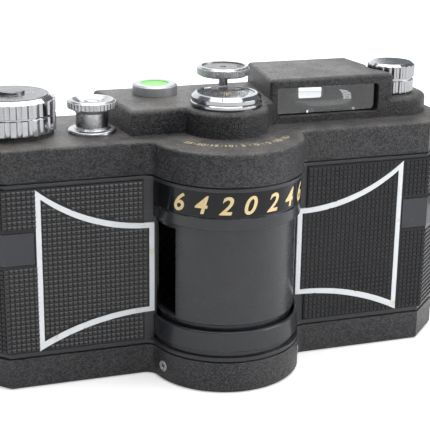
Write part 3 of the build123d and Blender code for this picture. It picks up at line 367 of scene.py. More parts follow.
def make_leatherette(name, deep, pale, shine):
    """Vinyl between two reflectances, with shine as its specular level."""
    made, tree, shader = new_material(name, Specular_IOR_Level=shine)
    place = object_place(tree)
    dust = put(tree, "ShaderNodeGroup", {"Speck": 2.8 * mm, "Share": 0.55}, node_tree=settled_dust)
    cloud = noise(tree, place, 16 * mm, 4.0, 0.6)
    black = tint(tree, cloud, (deep, deep, deep * vinyl_cool, 1), (pale, pale, pale * vinyl_cool, 1))
    dusty = tint(tree, calc(tree, "MULTIPLY", dust.outputs["FilmAndTopLight"], 0.10), black, vinyl_dust)
    tree.links.new(tint(tree, dust.outputs["Specks"], dusty, vinyl_speck), shader.inputs["Base Color"])
    smear = noise(tree, place, 3 * mm, 4.0)
    tree.links.new(span(tree, smear, 0.3, 0.7, 0.15, 0.26), shader.inputs["Roughness"])
    grain = noise(tree, place, 0.25 * mm, 3.0, 0.6)
    tree.links.new(bumped(tree, grain, 0.02 * mm), shader.inputs["Normal"])
    return made


moulded_vinyl = make_leatherette("moulded_vinyl", 0.010, 0.020, 0.55)
# The skin between the pips: darker and duller than the pips, painted shade in the gaps.
shaded_skin_vinyl = make_leatherette("shaded_skin_vinyl", 0.006, 0.013, 0.30)
finish_with(shaded_skin_vinyl, "leatherette_left", "leatherette_right", "door_leatherette")


def settle(obj, name, material, body):
    """Names a finished piece, puts its place into its mesh, paints it and lets it ride on its body."""
    bpy.ops.object.select_all(action="DESELECT")
    obj.select_set(True)
    bpy.context.view_layer.objects.active = obj
    bpy.ops.object.transform_apply(location=True, rotation=True, scale=True)
    obj.name = name
    obj.data.name = name
    obj.data.materials.clear()
    obj.data.materials.append(material)
    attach(obj, body)
    return obj


def select_where(obj, kind, wanted):
    """In edit mode, selects the verts, edges or faces for which wanted is true, and nothing else."""
    bpy.ops.mesh.select_mode(type=kind)
    bpy.ops.mesh.select_all(action="DESELECT")
    bpy.ops.object.mode_set(mode="OBJECT")
    items = {"VERT": obj.data.vertices, "EDGE": obj.data.edges, "FACE": obj.data.polygons}[kind]
    for item in items:
        item.select = bool(wanted(item))
    bpy.ops.object.mode_set(mode="EDIT")


def pip_sheet(columns, rows):
    """A flat sheet of pips that stand out along +Y, each with a high upper lobe and a low lower one."""
    bpy.ops.mesh.primitive_cube_add(size=1, location=(0, 0, 0))
    sheet = bpy.context.object
    sheet.scale = (pip_width, pip_high, pip_tall)
    bpy.ops.object.transform_apply(location=False, rotation=False, scale=True)
    bpy.ops.object.mode_set(mode="EDIT")
    select_where(sheet, "FACE", lambda face: face.normal.y < -0.9)
    bpy.ops.mesh.delete(type="FACE")
    for cut in lobe_cuts:
        bpy.ops.mesh.select_all(action="SELECT")
        bpy.ops.mesh.bisect(plane_co=(0, 0, cut), plane_no=(0, 0, 1))
    select_where(sheet, "VERT", lambda vertex: vertex.co.y > 0)
    bpy.ops.transform.resize(value=top_narrowing)
    select_where(sheet, "VERT", lambda vertex: vertex.co.y > 0 and abs(vertex.co.z - crease_at) < crease_near)
    bpy.ops.transform.translate(value=(0, -crease_deep, 0))
    select_where(sheet, "VERT", lambda vertex: vertex.co.y > 0 and vertex.co.z < lower_lobe_from)
    bpy.ops.transform.translate(value=(0, -lower_lobe_drop, 0))
    select_where(sheet, "VERT", lambda vertex: vertex.co.y > 0 and vertex.co.z > upper_edge_from)
    bpy.ops.transform.translate(value=(0, 0, -upper_edge_slip))
    bpy.ops.object.mode_set(mode="OBJECT")
    bpy.ops.object.shade_smooth_by_angle(angle=math.radians(25))
    for count, step in ((columns, (pip_pitch_x, 0, 0)), (rows, (0, 0, pip_pitch_z))):
        run = sheet.modifiers.new("run", "ARRAY")
        run.use_relative_offset = False
        run.use_constant_offset = True
        run.constant_offset_displace = step
        run.count = count
        bpy.ops.object.modifier_apply(modifier=run.name)
    for vertex in sheet.data.vertices:
        vertex.co.y += pip_high / 2 - pip_sunk
    return sheet


def search_tree(mesh):
    """The mesh as a tree in which near points and ray hits are found."""
    return BVHTree.FromPolygons([v.co for v in mesh.vertices], [p.vertices for p in mesh.polygons])


def keep_pips_on(sheet, skin, per_pip):
    """Deletes each pip that isn't all over the skin."""
    reach = pip_high + skin_gap
    tree = search_tree(skin.data)
    off_skin = {v.index for v in sheet.data.vertices if tree.find_nearest(v.co)[3] > reach}
    lost = {index // per_pip for index in off_skin}
    bpy.context.view_layer.objects.active = sheet
    bpy.ops.object.mode_set(mode="EDIT")
    select_where(sheet, "VERT", lambda vertex: vertex.index // per_pip in lost)
    bpy.ops.mesh.delete(type="VERT")
    bpy.ops.object.mode_set(mode="OBJECT")


def wrap_front(sheet, side, skin_low, skin_high, start_x):
    """Folds a flat sheet of pips round the front, the chamfer and the end of the body."""
    outer, front = max(abs(skin_low.x), abs(skin_high.x)), skin_low.y
    corners = [Vector((start_x, front)), Vector((outer - end_chamfer, front)),
               Vector((outer, front + end_chamfer)), Vector((outer, skin_high.y))]
    for vertex in sheet.data.vertices:
        along, out, up = vertex.co
        for begin, end in zip(corners, corners[1:]):
            length = (end - begin).length
            if along <= length or end is corners[-1]:
                break
            along -= length
        way = (end - begin).normalized()
        spot = begin + way * along + Vector((way.y, -way.x)) * out
        vertex.co = (side * spot.x, spot.y, up)


def cover_front(side, name, node):
    """Lays pips all over one front leatherette, side -1 for the left one and 1 for the right."""
    low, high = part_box(node)
    start_x = first_column[side] - pip_width / 2
    length = (high.y - low.y) + abs(high.x if side > 0 else low.x) - start_x
    columns, rows = int(length / pip_pitch_x), int((high.z - low.z) / pip_pitch_z)
    sheet = pip_sheet(columns, rows)
    per_pip = len(sheet.data.vertices) // (columns * rows)
    for vertex in sheet.data.vertices:
        vertex.co.x += pip_width / 2
        vertex.co.z += row_top - pip_tall / 2
    wrap_front(sheet, side, low, high, start_x)
    keep_pips_on(sheet, cad[node], per_pip)
    bpy.ops.object.mode_set(mode="EDIT")
    bpy.ops.mesh.select_all(action="SELECT")
    if side < 0:
        bpy.ops.mesh.flip_normals()
    bpy.ops.object.mode_set(mode="OBJECT")
    return settle(sheet, name, moulded_vinyl, "camera_body")


cover_front(-1, "leather_pips_left", "leatherette_left")
cover_front(1, "leather_pips_right", "leatherette_right")

door_low, door_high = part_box("door_leatherette")
door_columns = int((door_high.x - door_low.x) / pip_pitch_x)
door_rows = int((door_high.z - door_low.z) / pip_pitch_z)
door_pips = pip_sheet(door_columns, door_rows)
door_middle = (door_low + door_high) / 2
for pip_point in door_pips.data.vertices:
    pip_point.co.x += door_middle.x - (door_columns - 1) * pip_pitch_x / 2
    pip_point.co.z += door_middle.z - (door_rows - 1) * pip_pitch_z / 2
    pip_point.co.y += door_high.y
points_per_pip = len(door_pips.data.vertices) // (door_columns * door_rows)
keep_pips_on(door_pips, cad["door_leatherette"], points_per_pip)
settle(door_pips, "leather_pips_door", moulded_vinyl, "door")

# ---------------------------------------------------------------------------
# White frame lines.  Enamelled trumpet-shaped outlines let into the
# leatherette, one each side, yellowed where the enamel is thin.
# ---------------------------------------------------------------------------
line_white_low, line_white_high = (0.74, 0.75, 0.77, 1), (0.82, 0.83, 0.85, 1)
line_yellow, line_worn = (0.62, 0.50, 0.30, 1), (0.35, 0.33, 0.30, 1)


def make_white_enamel():
    made, tree, shader = new_material("white_line_enamel", Specular_IOR_Level=0.4)
    place = object_place(tree)
    worn = put(tree, "ShaderNodeGroup", {"Width": 0.2 * mm, "Patch": 5 * mm}, node_tree=rubbed_edge)
    stain = span(tree, noise(tree, place, 4 * mm, 6.0, 0.7), 0.60, 0.70)
    clean = tint(tree, noise(tree, place, 1.2 * mm, 3.0), line_white_low, line_white_high)
    stained = tint(tree, calc(tree, "MULTIPLY", stain, 0.55), clean, line_yellow)
    rubbed = tint(tree, calc(tree, "MULTIPLY", worn.outputs["Mask"], 0.5), stained, line_worn)
    tree.links.new(rubbed, shader.inputs["Base Color"])
    smear = noise(tree, place, 2 * mm, 3.0)
    tree.links.new(span(tree, smear, 0.3, 0.7, 0.35, 0.55), shader.inputs["Roughness"])
    relief = bumped(tree, noise(tree, place, 0.5 * mm, 2.0), 0.02 * mm, worn.outputs["Normal"])
    tree.links.new(relief, shader.inputs["Normal"])
    return made


finish_with(make_white_enamel(), "frame_trim_left", "frame_trim_right")

# ---------------------------------------------------------------------------
# Lens drum and the fixed rings round it.  Turned brass and aluminium,
# lacquered glossy black; the drum is a little duller from handling.  The
# degree band, under the overhang of the top cover, is painted darker and
# reflects less: painted shade.
# ---------------------------------------------------------------------------
finish_with(make_smooth_enamel("drum_lacquer", 0.024, 0.26, 0.2 * mm, 0.05), "lens_drum")
ring_lacquer = make_smooth_enamel("ring_lacquer", 0.022, 0.22, 0.45 * mm, 0.05)
finish_with(ring_lacquer, "lower_ring", "upper_ring")
# Degree band: darker and less reflective than the other lacquers, painted shade under the top cover's
# overhang.
shaded_band_lacquer = make_smooth_enamel("shaded_band_lacquer", 0.006, 0.14, 0.15 * mm, 0.02)
shaded_band_lacquer.node_tree.nodes["Principled BSDF"].inputs["Specular IOR Level"].default_value = 0.28
finish_with(shaded_band_lacquer, "degree_band")
matt_black = make_smooth_enamel("matt_black", 0.012, 0.6, 0.15 * mm, 0.05)
finish_with(matt_black, "slit_tube", "lens_barrel", "iris_ring", "film_gate", "pressure_plate",
            "eyepiece_frame", "aperture_scale", "take_up_spool")
# Finder tunnel: flock black, made darker still to stand for the shade inside the tunnel, partly painted
# shade.
flocked_and_shaded_black = make_smooth_enamel("flocked_and_shaded_black", 0.004, 0.8, 0.15 * mm, 0.0)
flocked_and_shaded_black.node_tree.nodes["Principled BSDF"].inputs["Specular IOR Level"].default_value = 0.15
finish_with(flocked_and_shaded_black, "finder_tunnel")

# ---------------------------------------------------------------------------
# Bright metal parts.  Brass turned, polished and chrome plated: knobs,
# release post, level ring and dials, with fine turning marks and tarnish.
# ---------------------------------------------------------------------------
tarnish_share, tarnish_dims = 0.25, 0.45
bright_edge = (0.95, 0.95, 0.96, 1)


def make_bright_metal(name, colour, gloss, dull):
    """Metal of that colour, from gloss where it is clean to dull where it is smeared."""
    made, tree, shader = new_material(name, Metallic=1.0)
    place = object_place(tree)
    worn = put(tree, "ShaderNodeGroup", {"Width": 0.22 * mm, "Patch": 2 * mm}, node_tree=rubbed_edge)
    scratched = put(tree, "ShaderNodeGroup", {"Spacing": 0.8 * mm}, node_tree=hairlines)
    cloud = span(tree, noise(tree, place, 2.6 * mm, 6.0, 0.7), 0.42, 0.75)
    dim = tuple(c * tarnish_dims for c in colour) + (1,)
    stained = tint(tree, calc(tree, "MULTIPLY", cloud, tarnish_share), colour + (1,), dim)
    rubbed = tint(tree, calc(tree, "MULTIPLY", worn.outputs["Mask"], 0.3), stained, bright_edge)
    tree.links.new(rubbed, shader.inputs["Base Color"])
    smear = span(tree, noise(tree, place, 1.4 * mm, 4.0), 0.3, 0.7, gloss, dull)
    tree.links.new(calc(tree, "ADD", smear, calc(tree, "MULTIPLY", scratched.outputs["Mask"], 0.2)),
                   shader.inputs["Roughness"])
    marks = bumped(tree, noise(tree, place, 0.3 * mm, 2.0), 0.004 * mm, worn.outputs["Normal"])
    tree.links.new(marks, shader.inputs["Normal"])
    return made


chrome = make_bright_metal("chrome_plate", (0.44, 0.44, 0.455), 0.06, 0.15)
finish_with(chrome, "advance_knob", "rewind_knob", "aperture_base", "aperture_ring")
satin_chrome = make_bright_metal("satin_chrome", (0.52, 0.52, 0.53), 0.22, 0.36)
finish_with(satin_chrome, "release_post", "release_button", "speed_dial")
matt_aluminium = make_bright_metal("matt_aluminium", (0.50, 0.50, 0.51), 0.35, 0.5)
matt_aluminium.node_tree.nodes["Principled BSDF"].inputs["Metallic"].default_value = 0.55
finish_with(matt_aluminium, "level_ring")
satin_steel = make_bright_metal("satin_steel", (0.55, 0.55, 0.56), 0.22, 0.38)
finish_with(satin_steel, "advance_shaft", "rewind_shaft", "rewind_sleeve", "drum_spindle", "drum_bearings",
            "sprocket_shaft", "film_sprocket", "film_rails", "governor", "tripod_bush", "door_hinge_pin",
            "rewind_release_button", "drive_spring", "release_spring", "guide_roller_left",
            "guide_roller_right", "bottom_cover_screws", "bulge_screws")
brass = make_bright_metal("gilt_brass", (0.86, 0.62, 0.26), 0.16, 0.3)
finish_with(brass, "aperture_hub")
dark_satin = make_bright_metal("dark_satin_plate", (0.20, 0.20, 0.205), 0.2, 0.34)
finish_with(dark_satin, "counter_disc")
grey_plate = make_bright_metal("grey_satin_plate", (0.24, 0.24, 0.245), 0.3, 0.45)
finish_with(grey_plate, "speed_scale")

# ---------------------------------------------------------------------------
# Glass.  Ground optical glass for the lens and the finder, a mineral cover
# over the aperture scale; smudged by fingers.
# ---------------------------------------------------------------------------


def make_glass(name, colour, gloss):
    """Clear glass that lets light through to what lies behind it."""
    made, tree, shader = new_material(name, Transmission_Weight=1.0, IOR=1.5)
    place = object_place(tree)
    thicker = tuple(c * 0.97 for c in colour[:3]) + (1,)
    tree.links.new(tint(tree, noise(tree, place, 3 * mm, 3.0), colour, thicker), shader.inputs["Base Color"])
    tree.links.new(span(tree, noise(tree, place, 4 * mm, 5.0, 0.7), 0.45, 0.75, gloss, gloss + 0.06),
                   shader.inputs["Roughness"])
    see_through = put(tree, "ShaderNodeBsdfTransparent", {"Color": (0.9, 0.9, 0.9, 1)})
    path = put(tree, "ShaderNodeLightPath")
    either = put(tree, "ShaderNodeMixShader", {
        0: path.outputs["Is Shadow Ray"], 1: shader.outputs[0], 2: see_through.outputs[0]})
    tree.links.new(either.outputs[0], tree.nodes["Material Output"].inputs["Surface"])
    return made


clear_glass = make_glass("clear_glass", (0.97, 0.98, 0.98, 1), 0.0)
finish_with(clear_glass, "finder_front_lens", "finder_rear_lens", "aperture_window")
coated_glass = make_glass("coated_lens_glass", (0.80, 0.84, 0.95, 1), 0.0)
finish_with(coated_glass, "lens_front_element", "lens_rear_element")

# ---------------------------------------------------------------------------
# Spirit level.  A sealed round vial of green liquid, set under a matt
# aluminium ring on the platform.  The liquid glows faintly: a painted glow.
# ---------------------------------------------------------------------------
green_low, green_high = (0.16, 0.78, 0.10, 1), (0.26, 0.92, 0.20, 1)
# The green is also an emission, so the vial glows faintly: painted glow, though it is no lamp.
green, green_tree, green_shader = new_material(
    "glowing_green_liquid", Roughness=0.35, Specular_IOR_Level=0.1, Emission_Strength=0.22)
green_cloud = noise(green_tree, object_place(green_tree), 2 * mm, 2.0)
green_mix = tint(green_tree, green_cloud, green_low, green_high)
green_tree.links.new(green_mix, green_shader.inputs["Base Color"])
green_tree.links.new(green_mix, green_shader.inputs["Emission Color"])
finish_with(green, "level_vial")

# ---------------------------------------------------------------------------
# Numerals on the fixed band over the drum: swing angle either side of the
# middle, engraved and filled with gold paint.
# ---------------------------------------------------------------------------
digit_share_of_size = 0.70
band_digit_tall, band_digit_thick, band_digit_lean = 4.9 * mm, 0.03 * mm, 0.28
band_digit_weight, band_digit_drop, band_slice = 0.13 * mm, 0.25 * mm, 0.5 * mm
band_step = math.radians(18)


def make_paint(name, colour, gloss):
    """Paint in an engraving, a little worn and uneven."""
    made, tree, shader = new_material(name, Specular_IOR_Level=0.4)
    place = object_place(tree)
    thin = span(tree, noise(tree, place, 0.5 * mm, 4.0, 0.7), 0.60, 0.72)
    duller, faded = (tuple(c * share for c in colour) + (1,) for share in (0.88, 0.35))
    full = tint(tree, noise(tree, place, 1.5 * mm, 3.0), duller, colour + (1,))
    tree.links.new(tint(tree, thin, full, faded), shader.inputs["Base Color"])
    smear = noise(tree, place, 1 * mm, 3.0)
    tree.links.new(span(tree, smear, 0.3, 0.7, gloss * 0.8, gloss * 1.2), shader.inputs["Roughness"])
    tree.links.new(bumped(tree, noise(tree, place, 0.2 * mm, 2.0), 0.01 * mm), shader.inputs["Normal"])
    return made


def make_numeral(mark, tall, thick, lean=0.0, weight=0.0):
    """A flat mesh numeral on the ground, middle at the origin, top towards +Y."""
    bpy.ops.object.select_all(action="DESELECT")
    bpy.ops.object.text_add(location=(0, 0, 0))
    made = bpy.context.object
    made.data.body = mark
    made.data.size = tall / digit_share_of_size
    made.data.shear = lean
    made.data.offset = weight
    made.data.extrude = thick
    bpy.ops.object.convert(target="MESH")
    bpy.ops.object.mode_set(mode="EDIT")
    bpy.ops.mesh.select_all(action="SELECT")
    bpy.ops.mesh.remove_doubles(threshold=0.001 * mm)
    bpy.ops.object.mode_set(mode="OBJECT")
    xs = [v.co.x for v in made.data.vertices]
    ys = [v.co.y for v in made.data.vertices]
    for vertex in made.data.vertices:
        vertex.co.x -= (min(xs) + max(xs)) / 2
        vertex.co.y -= (min(ys) + max(ys)) / 2
    return made


def join_up(objs):
    """Joins meshes into the first of them."""
    bpy.ops.object.select_all(action="DESELECT")
    for obj in objs:
        obj.select_set(True)
    bpy.context.view_layer.objects.active = objs[0]
    bpy.ops.object.join()
    return objs[0]


gold_paint = make_paint("gold_paint", (0.86, 0.66, 0.34), 0.4)
band_low, band_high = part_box("degree_band")
band_r = band_high.x
band_row = (band_low.z + band_high.z) / 2 - band_digit_drop
band_marks = []
for place, mark in enumerate("6420246"):
    digit = make_numeral(mark, band_digit_tall, band_digit_thick, band_digit_lean, band_digit_weight)
    bpy.ops.object.mode_set(mode="EDIT")
    for cut in range(-5, 6):
        bpy.ops.mesh.select_all(action="SELECT")
        bpy.ops.mesh.bisect(plane_co=(cut * band_slice, 0, 0), plane_no=(1, 0, 0))
    bpy.ops.object.mode_set(mode="OBJECT")
    for vertex in digit.data.vertices:
        turned = (place - 3) * band_step + vertex.co.x / band_r
        out = band_r + vertex.co.z
        vertex.co = (out * math.sin(turned), -out * math.cos(turned), band_row + vertex.co.y)
    band_marks.append(digit)
settle(join_up(band_marks), "band_numerals", gold_paint, "camera_body")

# ---------------------------------------------------------------------------
# Scale on the deck round the aperture dial.  Numerals and short ticks filled
# with gold paint that has mostly worn off.
# ---------------------------------------------------------------------------
fine_mark, tick_wide, above_all = 0.02 * mm, 0.18 * mm, 0.2


def lay_on(obj, name):
    """Drops a flat mesh onto the CAD node under it, keeping its own thickness."""
    tree = search_tree(cad[name].data)
    for vertex in obj.data.vertices:
        hit = tree.ray_cast(Vector((vertex.co.x, vertex.co.y, above_all)), Vector((0, 0, -1)))[0]
        vertex.co.z += hit.z


def middle_of(name):
    """The axis of a round CAD node, as x and y."""
    low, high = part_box(name)
    return (low.x + high.x) / 2, (low.y + high.y) / 2


def carry(obj, middle, radius, turn):
    """Turns a flat mesh to stand at that radius from middle, feet outward; a turn of 0 faces the front."""
    for vertex in obj.data.vertices:
        x, y = vertex.co.x, vertex.co.y - radius
        vertex.co.x = middle[0] + x * math.cos(turn) - y * math.sin(turn)
        vertex.co.y = middle[1] + x * math.sin(turn) + y * math.cos(turn)


def make_tick(wide, tall, thick):
    """A flat line, cut across so that it can follow a curved face."""
    bpy.ops.mesh.primitive_cube_add(size=1, location=(0, 0, 0))
    made = bpy.context.object
    made.scale = (wide, tall, 2 * thick)
    bpy.ops.object.transform_apply(location=False, rotation=False, scale=True)
    bpy.ops.object.mode_set(mode="EDIT")
    for cut in (-0.25, 0.0, 0.25):
        bpy.ops.mesh.select_all(action="SELECT")
        bpy.ops.mesh.bisect(plane_co=(0, cut * tall, 0), plane_no=(0, 1, 0))
    bpy.ops.object.mode_set(mode="OBJECT")
    return made


def round_scale(name, marks, node, middle, radius, tall, tick_at, tick_tall, material, body, first, step):
    """Numerals every step from first, feet outward, with a tick half a step after each."""
    made = []
    for place, mark in enumerate(marks):
        turn = math.radians(first + place * step)
        numeral = make_numeral(mark, tall, fine_mark, 0.0, fine_mark)
        carry(numeral, middle, radius, turn)
        made.append(numeral)
        tick = make_tick(tick_wide, tick_tall, fine_mark)
        carry(tick, middle, tick_at, turn + math.radians(step / 2))
        made.append(tick)
    scale = join_up(made)
    lay_on(scale, node)
    return settle(scale, name, material, body)


dull_gold = make_paint("dull_gold_paint", (0.52, 0.40, 0.23), 0.6)
dial_middle = middle_of("aperture_base")
deck_marks = ("25", "20", "15", "10", "5", "0", "5", "10", "15")
deck_scale_r = 18.4 * mm
round_scale("deck_scale", deck_marks, "top_cover", dial_middle, deck_scale_r, 1.9 * mm, deck_scale_r,
            1.4 * mm, dull_gold, "camera_body", -52, 12)

# ---------------------------------------------------------------------------
# Marks on the knob and the dials: index lines, frame ticks, and stop and
# speed numerals.
# ---------------------------------------------------------------------------
white_paint = make_paint("white_paint", (0.62, 0.63, 0.64), 0.5)
black_paint = make_paint("black_paint", (0.03, 0.03, 0.03), 0.5)
knob_middle = middle_of("advance_knob")
speed_middle = middle_of("speed_dial")
knob_index_r, knob_index_turn = 11.0 * mm, math.radians(-9.3)
stop_index_r, stop_index_turn = 9.1 * mm, math.radians(-25)
hub_cap_r, hub_cap_tall, hub_cap_bevel = 3.7 * mm, 0.12 * mm, 0.05 * mm
disc_ring_rs, disc_ring_wire, disc_ring_flat = (4.5 * mm, 6.0 * mm, 9.4 * mm), 0.07 * mm, 0.4

knob_line = make_tick(0.22 * mm, 1.0 * mm, fine_mark)
carry(knob_line, knob_middle, knob_index_r, knob_index_turn)
lay_on(knob_line, "advance_knob")
settle(knob_line, "knob_index", black_paint, body_of(cad["advance_knob"])[0])

disc_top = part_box("counter_disc")[1].z
bpy.ops.mesh.primitive_cylinder_add(vertices=64, radius=hub_cap_r, depth=hub_cap_tall,
                                    location=(*knob_middle, disc_top + hub_cap_tall / 2))
hub_cap = bpy.context.object
bpy.ops.object.mode_set(mode="EDIT")
bpy.ops.mesh.select_all(action="SELECT")
bpy.ops.mesh.bevel(offset=hub_cap_bevel, segments=2)
bpy.ops.object.mode_set(mode="OBJECT")
bpy.ops.object.shade_smooth_by_angle(angle=math.radians(30))
settle(hub_cap, "counter_hub_cap", grey_plate, body_of(cad["counter_disc"])[0])

round_scale("stop_numerals", ("2", "4", "8", "16", "22"), "aperture_scale", dial_middle, 6.2 * mm, 1.5 * mm,
            6.4 * mm, 1.0 * mm, white_paint, body_of(cad["aperture_scale"])[0], -60, 38)
round_scale("speed_numerals", ("15", "60", "125", "250"), "speed_scale", speed_middle, 4.7 * mm, 1.3 * mm,
            5.2 * mm, 0.9 * mm, black_paint, body_of(cad["speed_scale"])[0], -75, 50)

ring_line = make_tick(0.3 * mm, 0.9 * mm, fine_mark)
carry(ring_line, dial_middle, stop_index_r, stop_index_turn)
lay_on(ring_line, "aperture_ring")
settle(ring_line, "stop_index", black_paint, body_of(cad["aperture_ring"])[0])

rings = []
for ring_r in disc_ring_rs:
    bpy.ops.mesh.primitive_torus_add(major_radius=ring_r, minor_radius=disc_ring_wire, major_segments=72,
                                     minor_segments=6, location=(*knob_middle, 0))
    bpy.ops.object.transform_apply(location=True, rotation=False, scale=False)
    rings.append(bpy.context.object)
disc_marks = join_up(rings)
for vertex in disc_marks.data.vertices:
    vertex.co.z *= disc_ring_flat
lay_on(disc_marks, "counter_disc")
settle(disc_marks, "counter_rings", satin_steel, body_of(cad["counter_disc"])[0])

# ---------------------------------------------------------------------------
# Finder front lens.  Flat in front and hollow behind, so that the finder
# shows a small wide picture, with a flat rim where it sits in its frame.
# ---------------------------------------------------------------------------
lens_low, lens_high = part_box("finder_front_lens")
lens_middle = (lens_low + lens_high) / 2
rim_wide, rim_tall = 15.2 * mm, 3.85 * mm
tunnel_wide, tunnel_taper = 15.4 * mm, 0.4128
hollow_x, hollow_z = 36.0 * mm, 73.4 * mm
curve_wide, curve_tall = 34.0 * mm, 17.7 * mm
thinnest = 0.8 * mm

bpy.ops.mesh.primitive_grid_add(x_subdivisions=44, y_subdivisions=14, size=1, location=(0, 0, 0))
front_lens = bpy.context.object
front_lens.scale = (lens_high.x - lens_low.x, lens_high.z - lens_low.z, 1)
bpy.ops.object.transform_apply(location=False, rotation=False, scale=True)
bpy.ops.object.mode_set(mode="EDIT")
bpy.ops.mesh.select_all(action="SELECT")
bpy.ops.mesh.extrude_region_move(TRANSFORM_OT_translate={"value": (0, 0, 1 * mm)})
bpy.ops.mesh.select_all(action="SELECT")
bpy.ops.mesh.normals_make_consistent(inside=False)
bpy.ops.object.mode_set(mode="OBJECT")
for vertex in front_lens.data.vertices:
    x, z = lens_middle.x + vertex.co.x, lens_middle.z + vertex.co.y
    sag = (x - hollow_x) ** 2 / (2 * curve_wide) + (z - hollow_z) ** 2 / (2 * curve_tall)
    back = min(lens_low.y + thinnest + sag, lens_high.y + (tunnel_wide - abs(vertex.co.x)) / tunnel_taper)
    if abs(vertex.co.x) > rim_wide or abs(vertex.co.y) > rim_tall:
        back = lens_high.y
    vertex.co = (x, back if vertex.co.z < 0.5 * mm else lens_low.y, z)
ground_glass = make_glass("ground_finder_glass", (0.96, 0.97, 0.98, 1), 0.0)
ground_shader = ground_glass.node_tree.nodes["Principled BSDF"]
ground_shader.inputs["IOR"].default_value = 1.75
ground_shader.inputs["Specular IOR Level"].default_value = 0.22
bpy.context.view_layer.objects.active = front_lens
bpy.ops.object.shade_smooth_by_angle(angle=math.radians(25))
settle(front_lens, "finder_glass", ground_glass, "camera_body")
# The lens's rim and sides take the same black as the tunnel: its ground edge is blackened.
front_lens.data.materials.append(flocked_and_shaded_black)
for face in front_lens.data.polygons:
    off_x, off_z = abs(face.center.x - lens_middle.x), abs(face.center.z - lens_middle.z)
    if abs(face.normal.y) < 0.6 or off_x > rim_wide or off_z > rim_tall:
        face.material_index = 1
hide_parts("finder_front_lens")

# ---------------------------------------------------------------------------
# Return coil of the release button.  Fine steel wire, which on the camera
# shortens as the button goes down; here it is a fixed copy of the CAD spring.
# ---------------------------------------------------------------------------
coil = bpy.data.objects.new("return_coil", cad["release_spring"].data.copy())
bpy.context.scene.collection.objects.link(coil)
coil.matrix_world = cad["release_spring"].matrix_world
bpy.ops.object.select_all(action="DESELECT")
coil.select_set(True)
bpy.context.view_layer.objects.active = coil
bpy.ops.object.mode_set(mode="EDIT")
bpy.ops.mesh.select_all(action="SELECT")
bpy.ops.mesh.remove_doubles(threshold=0.001 * mm)
bpy.ops.object.mode_set(mode="OBJECT")
settle(coil, "return_coil", satin_steel, "camera_body")
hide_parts("release_spring")
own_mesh(coil)

# ---------------------------------------------------------------------------
# Heads of the two bulge screws.  Steel, each with a cross slot that is not
# cut but laid on as a flat black mark, painted shade of the slot, and a rim
# that is rubbed bright.
# ---------------------------------------------------------------------------
screw_x, screw_y, screw_z = 20.51, -7.96, 4.4
slot_wide, slot_long, slot_turn = 0.28 * mm, 1.5 * mm, 35
rim_r, rim_wire, rim_flat = 1.38 * mm, 0.22 * mm, 0.5
for side, label in ((-1, "left"), (1, "right")):
    arms = []
    screw = Vector((side * screw_x, screw_y, screw_z)) * mm
    outward = Vector((side * screw_x, screw_y, 0)).normalized()
    # The slot is not cut: two flat black arms stand for its dark recess, painted shade.
    for quarter in (0, 1):
        arm = make_tick(slot_wide, slot_long, 0.03 * mm)
        arm.rotation_mode = "QUATERNION"
        arm.rotation_quaternion = outward.to_track_quat("Z", "Y") @ Matrix.Rotation(
            math.radians(slot_turn + 90 * quarter), 4, "Z").to_quaternion()
        arm.location = screw
        bpy.ops.object.transform_apply(location=True, rotation=True, scale=True)
        arms.append(arm)
    settle(join_up(arms), "painted_slot_shade_" + label, black_paint, "camera_body")
    bpy.ops.mesh.primitive_torus_add(major_radius=rim_r, minor_radius=rim_wire, major_segments=48,
                                     minor_segments=8, location=(0, 0, 0))
    rim = bpy.context.object
    for vertex in rim.data.vertices:
        vertex.co.z *= rim_flat
    rim.rotation_mode = "QUATERNION"
    rim.rotation_quaternion = outward.to_track_quat("Z", "Y")
    rim.location = screw
    settle(rim, "screw_rim_" + label, satin_steel, "camera_body")

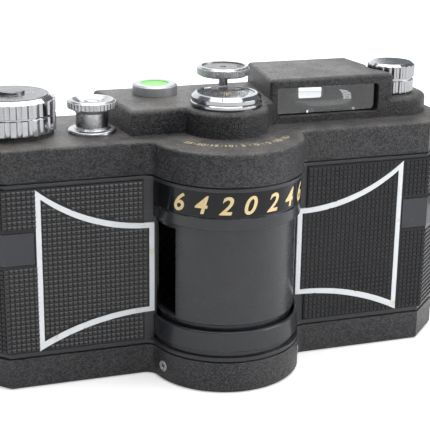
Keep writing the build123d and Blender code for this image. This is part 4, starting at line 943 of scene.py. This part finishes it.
# ---------------------------------------------------------------------------
# Floor, light and camera.  A plain sheet of pale paper under soft white
# light from above, behind, in front and the right.
# ---------------------------------------------------------------------------
floor_half = 4.0
bpy.ops.mesh.primitive_plane_add(size=2 * floor_half, location=(0, 0, cad_low.z - 0.1 * mm))
floor = bpy.context.object
floor.name = "floor"
paper, paper_tree, paper_shader = new_material("pale_paper", Roughness=0.9, Specular_IOR_Level=0.1)
paper_shader.inputs["Base Color"].default_value = (0.90, 0.895, 0.885, 1)
paper_shader.inputs["Emission Color"].default_value = (1.0, 0.995, 0.985, 1)
paper_glow = 0.33
seen_by_camera = put(paper_tree, "ShaderNodeLightPath").outputs["Is Camera Ray"]
glow = calc(paper_tree, "MULTIPLY", seen_by_camera, paper_glow)
paper_tree.links.new(glow, paper_shader.inputs["Emission Strength"])
floor.data.materials.append(paper)

world = bpy.data.worlds.new("studio")
bpy.context.scene.world = world
world.use_nodes = True
sky = world.node_tree.nodes["Background"].inputs
sky["Color"].default_value = (0.84, 0.91, 1.0, 1)
sky["Strength"].default_value = 0.28


def soft_light(name, place, aim, width, power):
    """A square soft box of that width in metres and power in watts, turned to aim."""
    data = bpy.data.lights.new(name, "AREA")
    data.shape = "SQUARE"
    data.size = width
    data.energy = power
    lamp = bpy.data.objects.new(name, data)
    bpy.context.scene.collection.objects.link(lamp)
    lamp.location = place
    lamp.rotation_mode = "QUATERNION"
    lamp.rotation_quaternion = (Vector(aim) - Vector(place)).to_track_quat("-Z", "Y")


soft_light("overhead_box", (0.05, 0.15, 0.85), (0, 0, 0.03), 0.95, 10.5)
soft_light("back_panel", (0.0, 1.4, 0.45), (0, 0, 0.05), 1.5, 8.5)
soft_light("front_top_box", (0.0, -0.45, 0.70), (0, 0, 0.04), 0.5, 1.5)
soft_light("right_panel", (1.1, -0.5, 0.4), (0, 0, 0.04), 0.8, 9.0)
bpy.context.scene.view_settings.view_transform = "Standard"

camera_place = (-0.10759, -0.30844, 0.15024)
camera_bearing, camera_dip, camera_roll = -18.749, 17.878, 0.788
camera_data = bpy.data.cameras.new("view")
camera_data.sensor_width = 36.0
camera_data.lens = 101.24
camera_data.clip_start = 0.01
camera = bpy.data.objects.new("view", camera_data)
bpy.context.scene.collection.objects.link(camera)
camera_turn = (Matrix.Rotation(math.radians(camera_bearing), 4, "Z")
               @ Matrix.Rotation(math.radians(90 - camera_dip), 4, "X")
               @ Matrix.Rotation(math.radians(camera_roll), 4, "Z"))
camera.matrix_world = Matrix.Translation(camera_place) @ camera_turn
bpy.context.scene.camera = camera
